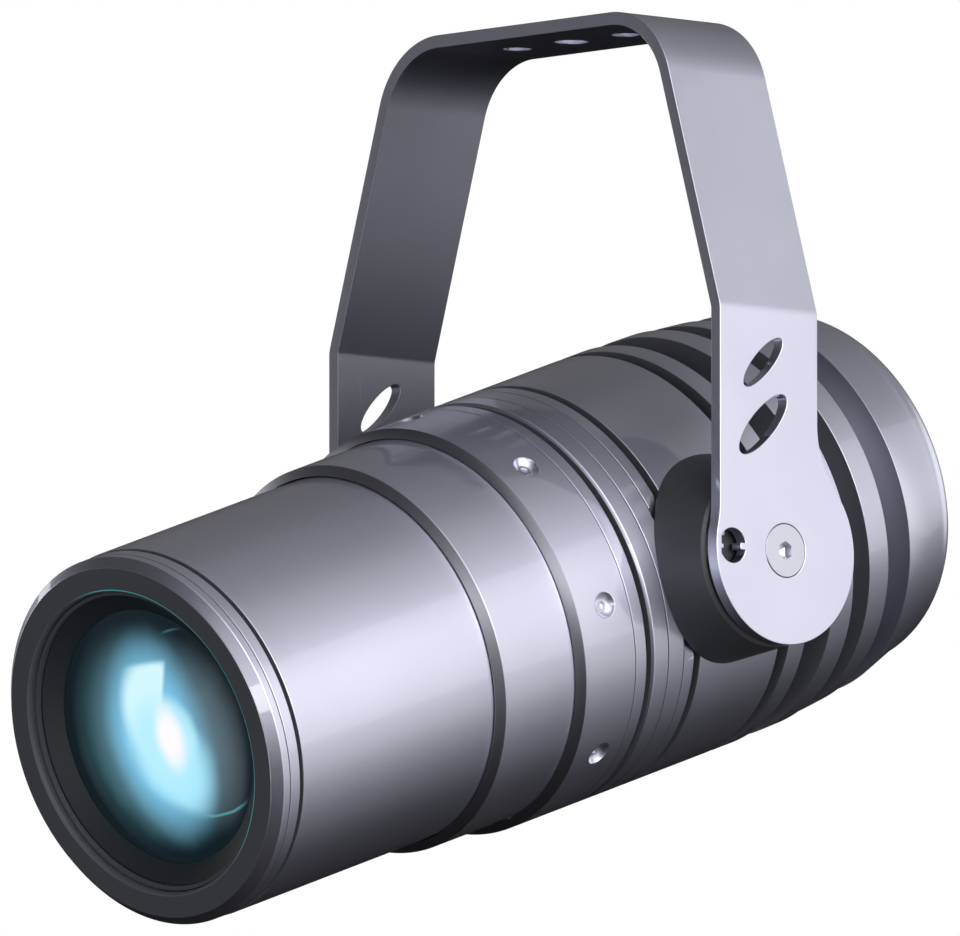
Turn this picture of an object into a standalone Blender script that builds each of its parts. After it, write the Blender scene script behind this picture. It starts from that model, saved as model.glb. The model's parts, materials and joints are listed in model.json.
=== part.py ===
# Zoom stage spotlight: a stepped metal lamp body hung in a flat-bar yoke.
# Metres, +Z up. The origin is the middle of the yoke's centre bolt hole, on the strap's top face.
# The lamp's front points to -Y. Inside the lamp, stations run along the lamp axis from the pivot.

import math

import bmesh
import bpy
from mathutils import Matrix, Vector

# Fits
GAP = 0.0003            # between two pieces that touch
RUNNING_FIT = 0.0005    # between round pieces that turn or slide in each other
PIN_PLAY = 0.0004       # round a pin in its slot

# Facets of turned pieces
BODY_FACETS = 32
BOSS_FACETS = 24
INNER_FACETS = 18
SMALL_FACETS = 10
PIN_FACETS = 8
ARC_STEP = 15.0         # degrees per facet of an outline's arc

# Yoke
STRAP_WIDTH = 0.050
STRAP_THICKNESS = 0.005
STRAP_FORWARD = 0.0085      # strap's middle ahead of the pivot
YOKE_STANDOFF = 0.0290      # lamp body to the outer face of a leg
PIVOT_DROP = 0.205          # top face of the strap to the pivot
LEG_BEND_HEIGHT = 0.090     # above the pivot
LEG_LEAN = 17.1             # degrees from upright
LEG_BEND_RADIUS = 0.010     # outer face
TOP_BEND_RADIUS = 0.0336    # outer face
YOKE_END_RADIUS = 0.0353    # round end about the pivot
NECK_RADIUS = 0.0363        # hollow curve between the strap's edge and the round end
CENTRE_HOLE_RADIUS = 0.0065
SIDE_HOLE_RADIUS = 0.0055
SIDE_HOLE_SPACING = 0.030

# Oval slots in the yoke's legs
SLOT_FORWARD = 0.0114       # slot centres ahead of the pivot
SLOT_TILT = 44.0            # degrees from level
UPPER_SLOT_HEIGHT = 0.0698
UPPER_SLOT_LENGTH = 0.0264
UPPER_SLOT_WIDTH = 0.0084
LOWER_SLOT_HEIGHT = 0.0465
LOWER_SLOT_LENGTH = 0.0320
LOWER_SLOT_WIDTH = 0.0110

# Index window in each leg
WINDOW_FORWARD = 0.0269
WINDOW_RADIUS = 0.0065
WINDOW_FLAT = 0.00565       # window centre to its flat side
POINTER_LENGTH = 0.0026
POINTER_WIDTH = 0.0025

# Tilt pivot
REST_TILT = 19.41           # degrees, front down
PIVOT_SCREW_RADIUS = 0.005
PIVOT_HEAD_RADIUS = 0.010
PIVOT_SCREW_SHY = 0.0020    # tip of the pivot screw to the lamp body
PIVOT_KEY = 0.006           # across the flats
PIVOT_KEY_DEPTH = 0.0035
TILT_DISC_RADIUS = 0.0325
TILT_DISC_THICKNESS = 0.0012
TILT_HUB_RADIUS = 0.014
TILT_HUB_HEIGHT = 0.0005

# Side bosses
BOSS_TIP_RADIUS = 0.0354
BOSS_ROOT_RADIUS = 0.0386
BOSS_ROOT_INSET = 0.0037    # under the body's surface, where the root radius is measured
BOSS_CHAMFER = 0.0012
BOSS_SCREW_SPACING = 0.028
BOSS_SCREW_RADIUS = 0.003
BOSS_SCREW_HEAD_RADIUS = 0.005
BOSS_SCREW_HEAD = 0.0045
BOSS_SCREW_GRIP = 0.012     # depth in the boss
RELIEF_MARGIN = 0.0022      # pocket round the boss
RELIEF_DEPTH = 0.0065

# Lamp body: radii step inward from the body's
BODY_RADIUS = 0.0787
SLEEVE_STEP = 0.0037        # outer sleeve over the inner one
BARREL_STEP = 0.0040        # inner sleeve over the barrel
BARREL_WALL = 0.0045
BEZEL_SHY = 0.0003          # bezel under the barrel
BEZEL_CHAMFER = 0.0035
BEZEL_RIM = 0.0129          # bezel's band to its bore
BEZEL_LIP = 0.001
HOUSING_WALL = 0.0062
HOUSING_FLANGE = 0.0098
CORE_WALL = 0.0040
SLEEVE_FLANGE = 0.0027
INNER_SLEEVE_BEVEL = 0.0026
OUTER_SLEEVE_BEVEL = 0.0025
COLLAR_CHAMFER = 0.0008

# Lamp body: stations, and the widths of the rings ahead of the housing
FRONT_FACE = -0.2408
BEZEL_WIDTH = 0.0070
BEZEL_COLLAR_WIDTH = 0.00505
BEZEL_GROOVE = 0.00165
OUTER_SLEEVE_LENGTH = 0.0292
INNER_SLEEVE_SHOWN = 0.0394
LOCK_RING_WIDTH = 0.0058
FRONT_GROOVE = 0.00345
COLLAR_WIDTH = 0.00865
FIXED_COLLAR_WIDTH = 0.0084
RELIEF_RING_WIDTH = 0.0055
REAR_GROOVE = 0.0035
HOUSING_FRONT = -0.0218
HOUSING_REAR = 0.0219
BARREL_OVERLAP = 0.0149     # barrel's rear end ahead of the sleeves' seam
CORE_OVERHANG = 0.0023      # core tube ahead of the inner sleeve
CORE_SEAT = 0.0058          # core tube into the housing

# Dimples of the outer sleeve and their screws
DIMPLE_INSET = 0.0120       # ahead of the sleeves' seam
DIMPLE_COUNT = 8
DIMPLE_RADIUS = 0.0050
DIMPLE_DEPTH = 0.0022
DIMPLE_FLOOR_RADIUS = 0.0037
SLEEVE_SCREW_RADIUS = 0.0028
SLEEVE_SCREW_KEY = 0.0025
SLEEVE_SCREW_KEY_DEPTH = 0.0015

# Heat sink and rear cap
FIN_DEPTH = 0.0187
SINK_SPIGOT = 0.0079
SINK_STUB = 0.0067          # core into the rear cap
FIN_1_FRONT = 0.0280
FIN_1_REAR = 0.0370
FIN_2_FRONT = 0.0511
FIN_2_REAR = 0.0621
FIN_2_STEP = 0.0005         # under the body's radius
FIN_2_REAR_STEP = 0.0007
FIN_3_FRONT = 0.0725
FIN_3_REAR = 0.0838
FIN_3_STEP = 0.0019
FIN_3_REAR_STEP = 0.0029
CAP_FRONT = 0.0973
CAP_REAR = 0.1298
CAP_STEP = 0.0044
CAP_TAPER = 0.0055
CAP_ROUND_WIDTH = 0.0077
CAP_ROUND_LENGTH = 0.0115
CAP_WALL = 0.003
CAP_SCREW_COUNT = 3
CAP_SCREW_INSET = 0.0131    # from the edge of the rear face
CAP_SCREW_ANGLE = 90.0
CAP_SCREW_RADIUS = 0.002
CAP_SCREW_HEAD_RADIUS = 0.004
CAP_SCREW_LENGTH = 0.012
CAP_SCREW_KEY = 0.0025
CAP_SCREW_KEY_DEPTH = 0.0013
CAP_POST_RADIUS = 0.004

# Driver board behind the heat sink
BOARD_THICKNESS = 0.0016
SPACER_LENGTH = 0.006
SPACER_INSET = 0.006
SPACER_WALL = 0.003

# Cable gland, M20
GLAND_DROP = 0.028          # below the lamp axis
GLAND_THREAD_RADIUS = 0.0098
GLAND_BORE = 0.006
GLAND_KEY = 0.024           # across the flats
GLAND_FLANGE = 0.005
GLAND_THREAD_IN = 0.010
GLAND_STUB = 0.009
GLAND_NUT_LENGTH = 0.013

# Light source and condenser
LED_BOARD_RADIUS = 0.028
EMITTER_RADIUS = 0.011
EMITTER_BASE = 0.0012
EMITTER_DOME_RADIUS = 0.008
EMITTER_DOME_HEIGHT = 0.006
CONDENSER_RADIUS = 0.032
CONDENSER_FLAT = 0.003      # station of the flat face
CONDENSER_EDGE = 0.003
CONDENSER_SAG = 0.011
CONDENSER_WALL = 0.0045
CONDENSER_LIP = 0.0018
HOLDER_FRONT = -0.009
CONDENSER_CLIP_WIDTH = 0.0025
CONDENSER_CLIP_LENGTH = 0.004
GATE_THICKNESS = 0.003
GATE_RADIUS = 0.018

# Front lens and its rings, as depths behind the front face
TRIM_DEPTH = 0.0027
TRIM_LENGTH = 0.0020
TRIM_WIDTH = 0.0015
RETAINER_DEPTH = 0.0050
RETAINER_LIP = 0.0022       # mouth inside the bezel's bore
RETAINER_SLOPE = 0.0069     # mouth to throat
RETAINER_THROAT_DEPTH = 0.0092
RETAINER_LAND = 0.0004
FRONT_LENS_HOLD = 0.0043    # lens under the retaining ring
FRONT_LENS_CURVE = 0.190
FRONT_LENS_EDGE = 0.003
GASKET_THICKNESS = 0.0008
GASKET_WIDTH = 0.0030
LENS_SEAT_WIDTH = 0.0040
COLLAR_SPIGOT_LENGTH = 0.0167

# Zoom drive
COLLAR_TURN = 40.0          # degrees each way
BARREL_TRAVEL = 0.010       # rearward at a full turn
CARRIAGE_TRAVEL = -0.012    # forward at a full turn
CAM_WALL = 0.0034
CAM_INSET = 0.003           # behind the core tube's front end
CAM_OVERRUN = 0.0007        # behind the collar
DRIVE_PIN_RADIUS = 0.002
DRIVE_PIN_DEPTH = 0.007     # in the collar
BARREL_PIN_INSET = 0.006    # ahead of the barrel's rear end
BARREL_PIN_DEPTH = 0.0027   # in the barrel
CARRIAGE_INSET = 0.018      # behind the cam sleeve's front end
CARRIAGE_LENGTH = 0.016
CARRIAGE_PIN_DEPTH = 0.004  # in the carriage
CARRIAGE_WALL = 0.0076
ZOOM_LENS_EDGE = 0.004
ZOOM_LENS_SAG = 0.006
CARRIAGE_LIP = 0.003
CLIP_THICKNESS = 0.002
PIN_COUNT = 2
BARREL_PIN_ANGLE = 90.0
CARRIAGE_PIN_ANGLE = 30.0
DRIVE_PIN_ANGLE = 60.0

# Radii that follow from the ones above
INNER_SLEEVE_RADIUS = BODY_RADIUS - SLEEVE_STEP
BARREL_RADIUS = INNER_SLEEVE_RADIUS - BARREL_STEP
BEZEL_RADIUS = BARREL_RADIUS - BEZEL_SHY
BEZEL_FACE_RADIUS = BEZEL_RADIUS - BEZEL_CHAMFER
BEZEL_BORE = BEZEL_RADIUS - BEZEL_RIM
RUNNING_BORE = BARREL_RADIUS - BARREL_WALL
CORE_RADIUS = RUNNING_BORE - RUNNING_FIT
RING_BORE = CORE_RADIUS + GAP
CORE_BORE = CORE_RADIUS - CORE_WALL
CAM_RADIUS = CORE_BORE - RUNNING_FIT
CAM_BORE = CAM_RADIUS - CAM_WALL
CARRIAGE_RADIUS = CAM_BORE - RUNNING_FIT
ZOOM_LENS_RADIUS = CARRIAGE_RADIUS - CARRIAGE_WALL
RETAINER_MOUTH_RADIUS = BEZEL_BORE - RETAINER_LIP
RETAINER_THROAT_RADIUS = RETAINER_MOUTH_RADIUS - RETAINER_SLOPE
FRONT_LENS_RADIUS = RETAINER_THROAT_RADIUS + FRONT_LENS_HOLD
HOUSING_BORE = BODY_RADIUS - HOUSING_WALL
SINK_CORE_RADIUS = BODY_RADIUS - FIN_DEPTH
FIN_2_RADIUS = BODY_RADIUS - FIN_2_STEP
FIN_2_REAR_RADIUS = BODY_RADIUS - FIN_2_REAR_STEP
FIN_3_RADIUS = BODY_RADIUS - FIN_3_STEP
FIN_3_REAR_RADIUS = BODY_RADIUS - FIN_3_REAR_STEP
CAP_FRONT_RADIUS = BODY_RADIUS - CAP_STEP
CAP_ROUND_RADIUS = CAP_FRONT_RADIUS - CAP_TAPER
CAP_FACE_RADIUS = CAP_ROUND_RADIUS - CAP_ROUND_WIDTH
CAP_SCREW_CIRCLE = CAP_FACE_RADIUS - CAP_SCREW_INSET
DRIVER_BOARD_RADIUS = CAP_SCREW_CIRCLE - 2.0 * CAP_POST_RADIUS
SPACER_RADIUS = DRIVER_BOARD_RADIUS - SPACER_INSET

# Stations that follow
BEZEL_SEAM = FRONT_FACE + BEZEL_WIDTH
BEZEL_REAR = BEZEL_SEAM + BEZEL_COLLAR_WIDTH
BARREL_FRONT = BEZEL_REAR + BEZEL_GROOVE
RELIEF_RING_REAR = HOUSING_FRONT - REAR_GROOVE
RELIEF_SEAM = RELIEF_RING_REAR - RELIEF_RING_WIDTH
COLLAR_SEAM = RELIEF_SEAM - FIXED_COLLAR_WIDTH
COLLAR_FRONT = COLLAR_SEAM - COLLAR_WIDTH
LOCK_RING_REAR = COLLAR_FRONT - FRONT_GROOVE
SLEEVE_SEAM = LOCK_RING_REAR - LOCK_RING_WIDTH
OUTER_SLEEVE_FRONT = SLEEVE_SEAM - OUTER_SLEEVE_LENGTH
INNER_SLEEVE_FRONT = OUTER_SLEEVE_FRONT - INNER_SLEEVE_SHOWN
DIMPLE_STATION = SLEEVE_SEAM - DIMPLE_INSET
BARREL_REAR = SLEEVE_SEAM - BARREL_OVERLAP
CORE_FRONT = INNER_SLEEVE_FRONT - CORE_OVERHANG
CORE_REAR = HOUSING_FRONT + CORE_SEAT
CAM_FRONT = CORE_FRONT + CAM_INSET
CAM_REAR = COLLAR_SEAM + CAM_OVERRUN
BARREL_PIN_STATION = BARREL_REAR - BARREL_PIN_INSET
CARRIAGE_STATION = CAM_FRONT + CARRIAGE_INSET
SINK_FRONT = HOUSING_REAR - SINK_SPIGOT
SINK_REAR = CAP_FRONT + SINK_STUB
CAP_ROUND_START = CAP_REAR - CAP_ROUND_LENGTH

# Pivot side that follows
YOKE_HALF_SPAN = BODY_RADIUS + YOKE_STANDOFF    # pivot centre plane to the outer face of a leg
LEG_INNER = YOKE_HALF_SPAN - STRAP_THICKNESS
PIVOT_SCREW_LENGTH = YOKE_STANDOFF - PIVOT_SCREW_SHY
BOSS_END = LEG_INNER - TILT_DISC_THICKNESS - TILT_HUB_HEIGHT - 2.0 * GAP
BOSS_ROOT_OFFSET = BODY_RADIUS - BOSS_ROOT_INSET
RELIEF_FLOOR = BODY_RADIUS - RELIEF_DEPTH


def clear_scene():
    for old in list(bpy.data.objects):
        bpy.data.objects.remove(old, do_unlink=True)


def surface(name, colour, roughness, metallic, alpha=1.0):
    made = bpy.data.materials.new(name)
    made.use_nodes = True
    shader = made.node_tree.nodes["Principled BSDF"]
    shader.inputs["Base Color"].default_value = (*colour, 1.0)
    shader.inputs["Roughness"].default_value = roughness
    shader.inputs["Metallic"].default_value = metallic
    shader.inputs["Alpha"].default_value = alpha
    made.diffuse_color = (*colour, 1.0)
    return made


def empty(name, parent=None, location=(0.0, 0.0, 0.0), tilt=0.0):
    holder = bpy.data.objects.new(name, None)
    bpy.context.scene.collection.objects.link(holder)
    holder.parent = parent
    holder.location = location
    holder.rotation_euler = (math.radians(tilt), 0.0, 0.0)
    return holder


def make(name, mesh_builder, material, parent):
    """Turn a bmesh into a named object; its place is that of its parent."""
    bmesh.ops.recalc_face_normals(mesh_builder, faces=mesh_builder.faces)
    mesh = bpy.data.meshes.new(name)
    mesh_builder.to_mesh(mesh)
    mesh_builder.free()
    mesh.shade_smooth()
    mesh.set_sharp_from_angle(angle=math.radians(30.0))
    made = bpy.data.objects.new(name, mesh)
    bpy.context.scene.collection.objects.link(made)
    made.parent = parent
    if material:
        mesh.materials.append(material)
    return made


def cutter(name, mesh_builder, parent):
    made = make(name, mesh_builder, None, parent)
    made.hide_render = True
    made.display_type = "WIRE"
    return made


def boolean(target, tool, operation="DIFFERENCE"):
    step = target.modifiers.new(f"{operation.lower()}_{tool.name}", "BOOLEAN")
    step.operation = operation
    step.solver = "EXACT"
    step.object = tool


def arc(centre, radius, start, end):
    """Points of an arc in a plane, angles in degrees."""
    steps = max(2, math.ceil(abs(end - start) / ARC_STEP))
    points = []
    for i in range(steps + 1):
        angle = math.radians(start + (end - start) * i / steps)
        points.append((centre[0] + radius * math.cos(angle), centre[1] + radius * math.sin(angle)))
    return points


def rounded(points, radii):
    """An open path with each inner corner rounded to its radius."""
    path = [points[0]]
    for i, radius in enumerate(radii, start=1):
        before, corner, after = (Vector(points[k]) for k in (i - 1, i, i + 1))
        into = (corner - before).normalized()
        out = (after - corner).normalized()
        turn = into.angle_signed(out)
        reach = radius * math.tan(abs(turn) / 2.0)
        side = Vector((into.y, -into.x)) if turn > 0.0 else Vector((-into.y, into.x))
        centre = corner - into * reach + side * radius
        start = math.degrees(math.atan2(-side.y, -side.x))
        path.extend(arc(centre, radius, start, start - math.degrees(turn)))
    path.append(points[-1])
    return path


def turned(profile, facets, closed=True):
    """Spin a profile of (station, radius) points about the Y axis."""
    bm = bmesh.new()
    verts = [bm.verts.new((radius, station, 0.0)) for station, radius in profile]
    edges = [bm.edges.new(pair) for pair in zip(verts, verts[1:])]
    if closed:
        edges.append(bm.edges.new((verts[-1], verts[0])))
    bmesh.ops.spin(bm, geom=verts + edges, axis=(0.0, 1.0, 0.0), cent=(0.0, 0.0, 0.0),
                   angle=math.tau, steps=facets, use_merge=True)
    bmesh.ops.remove_doubles(bm, verts=bm.verts, dist=1e-6)
    return bm


def across(bm, side):
    """Lay a turned shape along the pivot axis, on the +X side or the -X side."""
    bmesh.ops.rotate(bm, verts=bm.verts, matrix=Matrix.Rotation(-side * math.pi / 2.0, 3, "Z"))
    return bm


def prism(outline, axis, start, end):
    """Extrude a flat outline along an axis; the outline's plane is the other two, in order."""
    order = {"X": lambda u, v, w: (w, u, v), "Z": lambda u, v, w: (u, v, w)}[axis]
    bm = bmesh.new()
    base = [bm.verts.new(order(u, v, start)) for u, v in outline]
    face = bm.faces.new(base)
    grown = bmesh.ops.extrude_face_region(bm, geom=[face])["geom"]
    moved = [item for item in grown if isinstance(item, bmesh.types.BMVert)]
    bmesh.ops.translate(bm, verts=moved, vec=order(0.0, 0.0, end - start))
    return bm


def add_shell(target, shell):
    """Put a finished shell into another bmesh, as a body of its own."""
    scratch = bpy.data.meshes.new("shell")
    shell.to_mesh(scratch)
    shell.free()
    target.from_mesh(scratch)
    bpy.data.meshes.remove(scratch)


def rod(bm, start, end, radius, facets=SMALL_FACETS, end_radius=None):
    """Add a straight round bar, or a cone, between two points."""
    start = Vector(start)
    end = Vector(end)
    place = Matrix.Translation((start + end) / 2.0)
    place @= (end - start).to_track_quat("Z", "Y").to_matrix().to_4x4()
    bmesh.ops.create_cone(bm, cap_ends=True, segments=facets, radius1=radius,
                          radius2=radius if end_radius is None else end_radius,
                          depth=(end - start).length, matrix=place)


def around(angle, radius, station):
    """A point on a cylinder about the lamp axis; the angle runs from +X to +Z."""
    turn = math.radians(angle)
    return Vector((radius * math.cos(turn), station, radius * math.sin(turn)))


def spaced(count, first):
    return [first + 360.0 * i / count for i in range(count)]


def radial_rods(angles, station, inner, outer, radius, facets=SMALL_FACETS, end_radius=None):
    """Round bars that stand out from the lamp axis; each ends at its outer radius."""
    bm = bmesh.new()
    for angle in angles:
        rod(bm, around(angle, inner, station), around(angle, outer, station), radius, facets,
            end_radius)
    return bm


def radial_pieces(name, angles, station, inner, outer, radius, facets, finish, parent):
    """One round pin or screw for each angle, all of one shape."""
    return [make(f"{name}_{i}", radial_rods([angle], station, inner, outer, radius, facets), finish, parent)
            for i, angle in enumerate(angles, start=1)]


def groove(path, half_width, inner, outer, bm):
    """Add a bar that follows a path of (angle, station) on a cylinder, square in section."""
    middle = (inner + outer) / 2.0
    flat = [Vector((math.radians(angle) * middle, station)) for angle, station in path]
    flat[0] = flat[0] + (flat[0] - flat[1]).normalized() * half_width
    flat[-1] = flat[-1] + (flat[-1] - flat[-2]).normalized() * half_width
    rings = []
    for i, point in enumerate(flat):
        along = (flat[min(i + 1, len(flat) - 1)] - flat[max(i - 1, 0)]).normalized()
        side = Vector((-along.y, along.x)) * half_width
        ring = []
        for radius, edge in ((inner, 1.0), (outer, 1.0), (outer, -1.0), (inner, -1.0)):
            spot = point + side * edge
            ring.append(bm.verts.new(around(math.degrees(spot.x / middle), radius, spot.y)))
        rings.append(ring)
    for one, two in zip(rings, rings[1:]):
        for k in range(4):
            bm.faces.new((one[k], one[(k + 1) % 4], two[(k + 1) % 4], two[k]))
    bm.faces.new(rings[0])
    bm.faces.new(reversed(rings[-1]))


def cam_path(angle, station, travel):
    """Where a pin that slides by travel goes on a sleeve that turns by COLLAR_TURN."""
    steps = 6
    return [(angle + COLLAR_TURN * t, station + travel * t)
            for t in (2.0 * i / steps - 1.0 for i in range(steps + 1))]


def dome(radius, edge_station, sag, rings):
    """Half a lens face from its rim to the axis; a negative sag bulges forward."""
    curve = (radius * radius + sag * sag) / (2.0 * abs(sag))
    rim = math.asin(min(1.0, radius / curve))
    points = []
    for i in range(rings + 1):
        angle = rim * (1.0 - i / rings)
        rise = curve * (math.cos(angle) - math.cos(rim))
        points.append((edge_station + math.copysign(rise, sag), curve * math.sin(angle)))
    points[-1] = (edge_station + sag, 0.0)
    return points


def face_rise(radius, sag, at):
    """How far a lens face has risen from its rim plane at a smaller radius."""
    curve = (radius * radius + sag * sag) / (2.0 * sag)
    return math.sqrt(curve * curve - at * at) - math.sqrt(curve * curve - radius * radius)


def hexagon(across_flats):
    corner = across_flats / math.sqrt(3.0)
    return [(corner * math.cos(math.radians(a)), corner * math.sin(math.radians(a)))
            for a in range(30, 390, 60)]


def neck(edge, side):
    """The hollow curve from the strap's edge to the tangent point on the round end."""
    offset = abs(edge) + NECK_RADIUS
    reach = YOKE_END_RADIUS + NECK_RADIUS
    height = math.sqrt(max(0.0, reach * reach - offset * offset))
    away = math.degrees(math.atan2(height, offset))
    points = arc((offset, height), NECK_RADIUS, 180.0, 180.0 + away)
    return [(side * u, v) for u, v in points], away


def make_yoke(parent, finish):
    """Bent flat bar with round ends: a formed band, trimmed to the outline of the blank."""
    apex = YOKE_HALF_SPAN - (PIVOT_DROP - LEG_BEND_HEIGHT) * math.tan(math.radians(LEG_LEAN))
    low = -YOKE_END_RADIUS - STRAP_THICKNESS
    corners = [(-YOKE_HALF_SPAN, low), (-YOKE_HALF_SPAN, LEG_BEND_HEIGHT), (-apex, PIVOT_DROP),
               (apex, PIVOT_DROP), (YOKE_HALF_SPAN, LEG_BEND_HEIGHT), (YOKE_HALF_SPAN, low)]
    path = rounded(corners, [LEG_BEND_RADIUS, TOP_BEND_RADIUS, TOP_BEND_RADIUS, LEG_BEND_RADIUS])
    front = -STRAP_FORWARD - STRAP_WIDTH / 2.0
    rear = -STRAP_FORWARD + STRAP_WIDTH / 2.0
    reach = max(YOKE_END_RADIUS, -front, rear) + STRAP_THICKNESS

    band = bmesh.new()
    rows = [[band.verts.new((x, y, z)) for x, z in path] for y in (-reach, reach)]
    for i in range(len(path) - 1):
        band.faces.new((rows[0][i], rows[0][i + 1], rows[1][i + 1], rows[1][i]))
    mesh = bpy.data.meshes.new("yoke")
    band.to_mesh(mesh)
    band.free()
    mesh.shade_smooth()
    mesh.materials.append(finish)
    yoke = bpy.data.objects.new("yoke", mesh)
    bpy.context.scene.collection.objects.link(yoke)
    yoke.parent = parent
    wall = yoke.modifiers.new("strap_thickness", "SOLIDIFY")
    wall.thickness = STRAP_THICKNESS
    wall.offset = -1.0
    wall.use_even_offset = True

    front_neck, front_away = neck(front, -1.0)
    rear_neck, rear_away = neck(rear, 1.0)
    top = PIVOT_DROP + STRAP_THICKNESS
    end = arc((0.0, 0.0), YOKE_END_RADIUS, 180.0 - front_away, 360.0 + rear_away)
    blank = [(front, top)] + front_neck[:-1] + end + rear_neck[-2::-1] + [(rear, top)]
    width = YOKE_HALF_SPAN + STRAP_THICKNESS
    boolean(yoke, cutter("yoke_blank", prism(blank, "X", -width, width), parent), "INTERSECT")

    slots = (("upper_slots", UPPER_SLOT_HEIGHT, UPPER_SLOT_LENGTH, UPPER_SLOT_WIDTH),
             ("lower_slots", LOWER_SLOT_HEIGHT, LOWER_SLOT_LENGTH, LOWER_SLOT_WIDTH))
    lean = Matrix.Rotation(math.radians(SLOT_TILT), 2)
    for name, height, length, slot_width in slots:
        oval = []
        for u, v in arc((0.0, 0.0), 0.5, 0.0, 360.0)[::2][:-1]:
            spot = lean @ Vector((u * length, v * slot_width))
            oval.append((spot.x - SLOT_FORWARD, spot.y + height))
        boolean(yoke, cutter(name, prism(oval, "X", -width, width), parent))

    flat = math.degrees(math.acos(WINDOW_FLAT / WINDOW_RADIUS))
    tab = math.degrees(math.asin(POINTER_WIDTH / 2.0 / WINDOW_RADIUS))
    centre = (-WINDOW_FORWARD, 0.0)
    tip = centre[0] + WINDOW_RADIUS - POINTER_LENGTH
    window = arc(centre, WINDOW_RADIUS, tab, 180.0 - flat)[::2]
    window += arc(centre, WINDOW_RADIUS, 180.0 + flat, 360.0 - tab)[::2]
    window += [(tip, -POINTER_WIDTH / 2.0), (tip, POINTER_WIDTH / 2.0)]
    boolean(yoke, cutter("index_windows", prism(window, "X", -width, width), parent))

    holes = bmesh.new()
    for x, radius in ((-SIDE_HOLE_SPACING, SIDE_HOLE_RADIUS), (0.0, CENTRE_HOLE_RADIUS),
                      (SIDE_HOLE_SPACING, SIDE_HOLE_RADIUS)):
        rod(holes, (x, -STRAP_FORWARD, PIVOT_DROP - 2.0 * STRAP_THICKNESS),
            (x, -STRAP_FORWARD, PIVOT_DROP + STRAP_THICKNESS), radius, 2 * SMALL_FACETS)
    for side in (-1.0, 1.0):
        bore = PIVOT_SCREW_RADIUS + GAP
        mouth = bore + STRAP_THICKNESS
        sink = turned([(LEG_INNER - STRAP_THICKNESS, 0.0), (LEG_INNER - STRAP_THICKNESS, bore),
                       (YOKE_HALF_SPAN - (mouth - bore), bore), (YOKE_HALF_SPAN, mouth),
                       (YOKE_HALF_SPAN + GAP, mouth + GAP), (YOKE_HALF_SPAN + GAP, 0.0)],
                      2 * SMALL_FACETS, closed=False)
        add_shell(holes, across(sink, side))
    boolean(yoke, cutter("yoke_holes", holes, parent))


def make_pivot(yoke_frame, lamp, finishes):
    for side, name in ((-1.0, "left"), (1.0, "right")):
        head = PIVOT_HEAD_RADIUS - PIVOT_SCREW_RADIUS
        tail = YOKE_HALF_SPAN - PIVOT_SCREW_LENGTH
        screw = make(f"pivot_screw_{name}", across(turned([
            (tail, 0.0), (tail, PIVOT_SCREW_RADIUS), (YOKE_HALF_SPAN - head, PIVOT_SCREW_RADIUS),
            (YOKE_HALF_SPAN, PIVOT_HEAD_RADIUS), (YOKE_HALF_SPAN, 0.0)],
            2 * SMALL_FACETS, closed=False), side), finishes["bright"], yoke_frame)
        key = prism(hexagon(PIVOT_KEY), "X", side * (YOKE_HALF_SPAN - PIVOT_KEY_DEPTH),
                    side * (YOKE_HALF_SPAN + PIVOT_KEY_DEPTH))
        boolean(screw, cutter(f"pivot_key_{name}", key, yoke_frame))
        make_tilt_disc(name, side, lamp, finishes["dark"])
        make_boss(name, side, lamp, finishes["boss"])


def make_tilt_disc(name, side, lamp, finish):
    """Friction disc on the boss; its raised hub bears on the yoke's leg."""
    near = BOSS_END + GAP
    face = near + TILT_DISC_THICKNESS
    top = face + TILT_HUB_HEIGHT
    bore = PIVOT_SCREW_RADIUS + GAP
    make(f"tilt_disc_{name}", across(turned([
        (near, bore), (near, TILT_DISC_RADIUS), (face, TILT_DISC_RADIUS), (face, TILT_HUB_RADIUS),
        (top, TILT_HUB_RADIUS), (top, bore)], BOSS_FACETS), side), finish, lamp)


def boss_radius(offset):
    """Radius of the tapered boss at a station on the pivot axis."""
    slope = (BOSS_ROOT_RADIUS - BOSS_TIP_RADIUS) / (BOSS_END - BOSS_ROOT_OFFSET)
    return BOSS_TIP_RADIUS + slope * (BOSS_END - offset)


def boss_root():
    """Station under the whole saddle of the boss."""
    width = min(BOSS_ROOT_RADIUS, 0.9 * BODY_RADIUS)
    return math.sqrt(BODY_RADIUS * BODY_RADIUS - width * width) - BOSS_SCREW_RADIUS


def make_boss(name, side, lamp, finish):
    """Tapered drum, bored for the pivot screw and cut to a saddle that fits the round body."""
    root = boss_root()
    bore = PIVOT_SCREW_RADIUS + GAP
    bore_end = YOKE_HALF_SPAN - PIVOT_SCREW_LENGTH - GAP
    boss = make(f"boss_{name}", across(turned([
        (root, 0.0), (root, boss_radius(root)), (BOSS_END - BOSS_CHAMFER, boss_radius(BOSS_END)),
        (BOSS_END, BOSS_TIP_RADIUS - BOSS_CHAMFER), (BOSS_END, bore), (bore_end, bore), (bore_end, 0.0)],
        BOSS_FACETS, closed=False), side), finish, lamp)
    boolean(boss, bpy.data.objects["body_saddle"])
    boolean(boss, bpy.data.objects["boss_screw_holes"])


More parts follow.
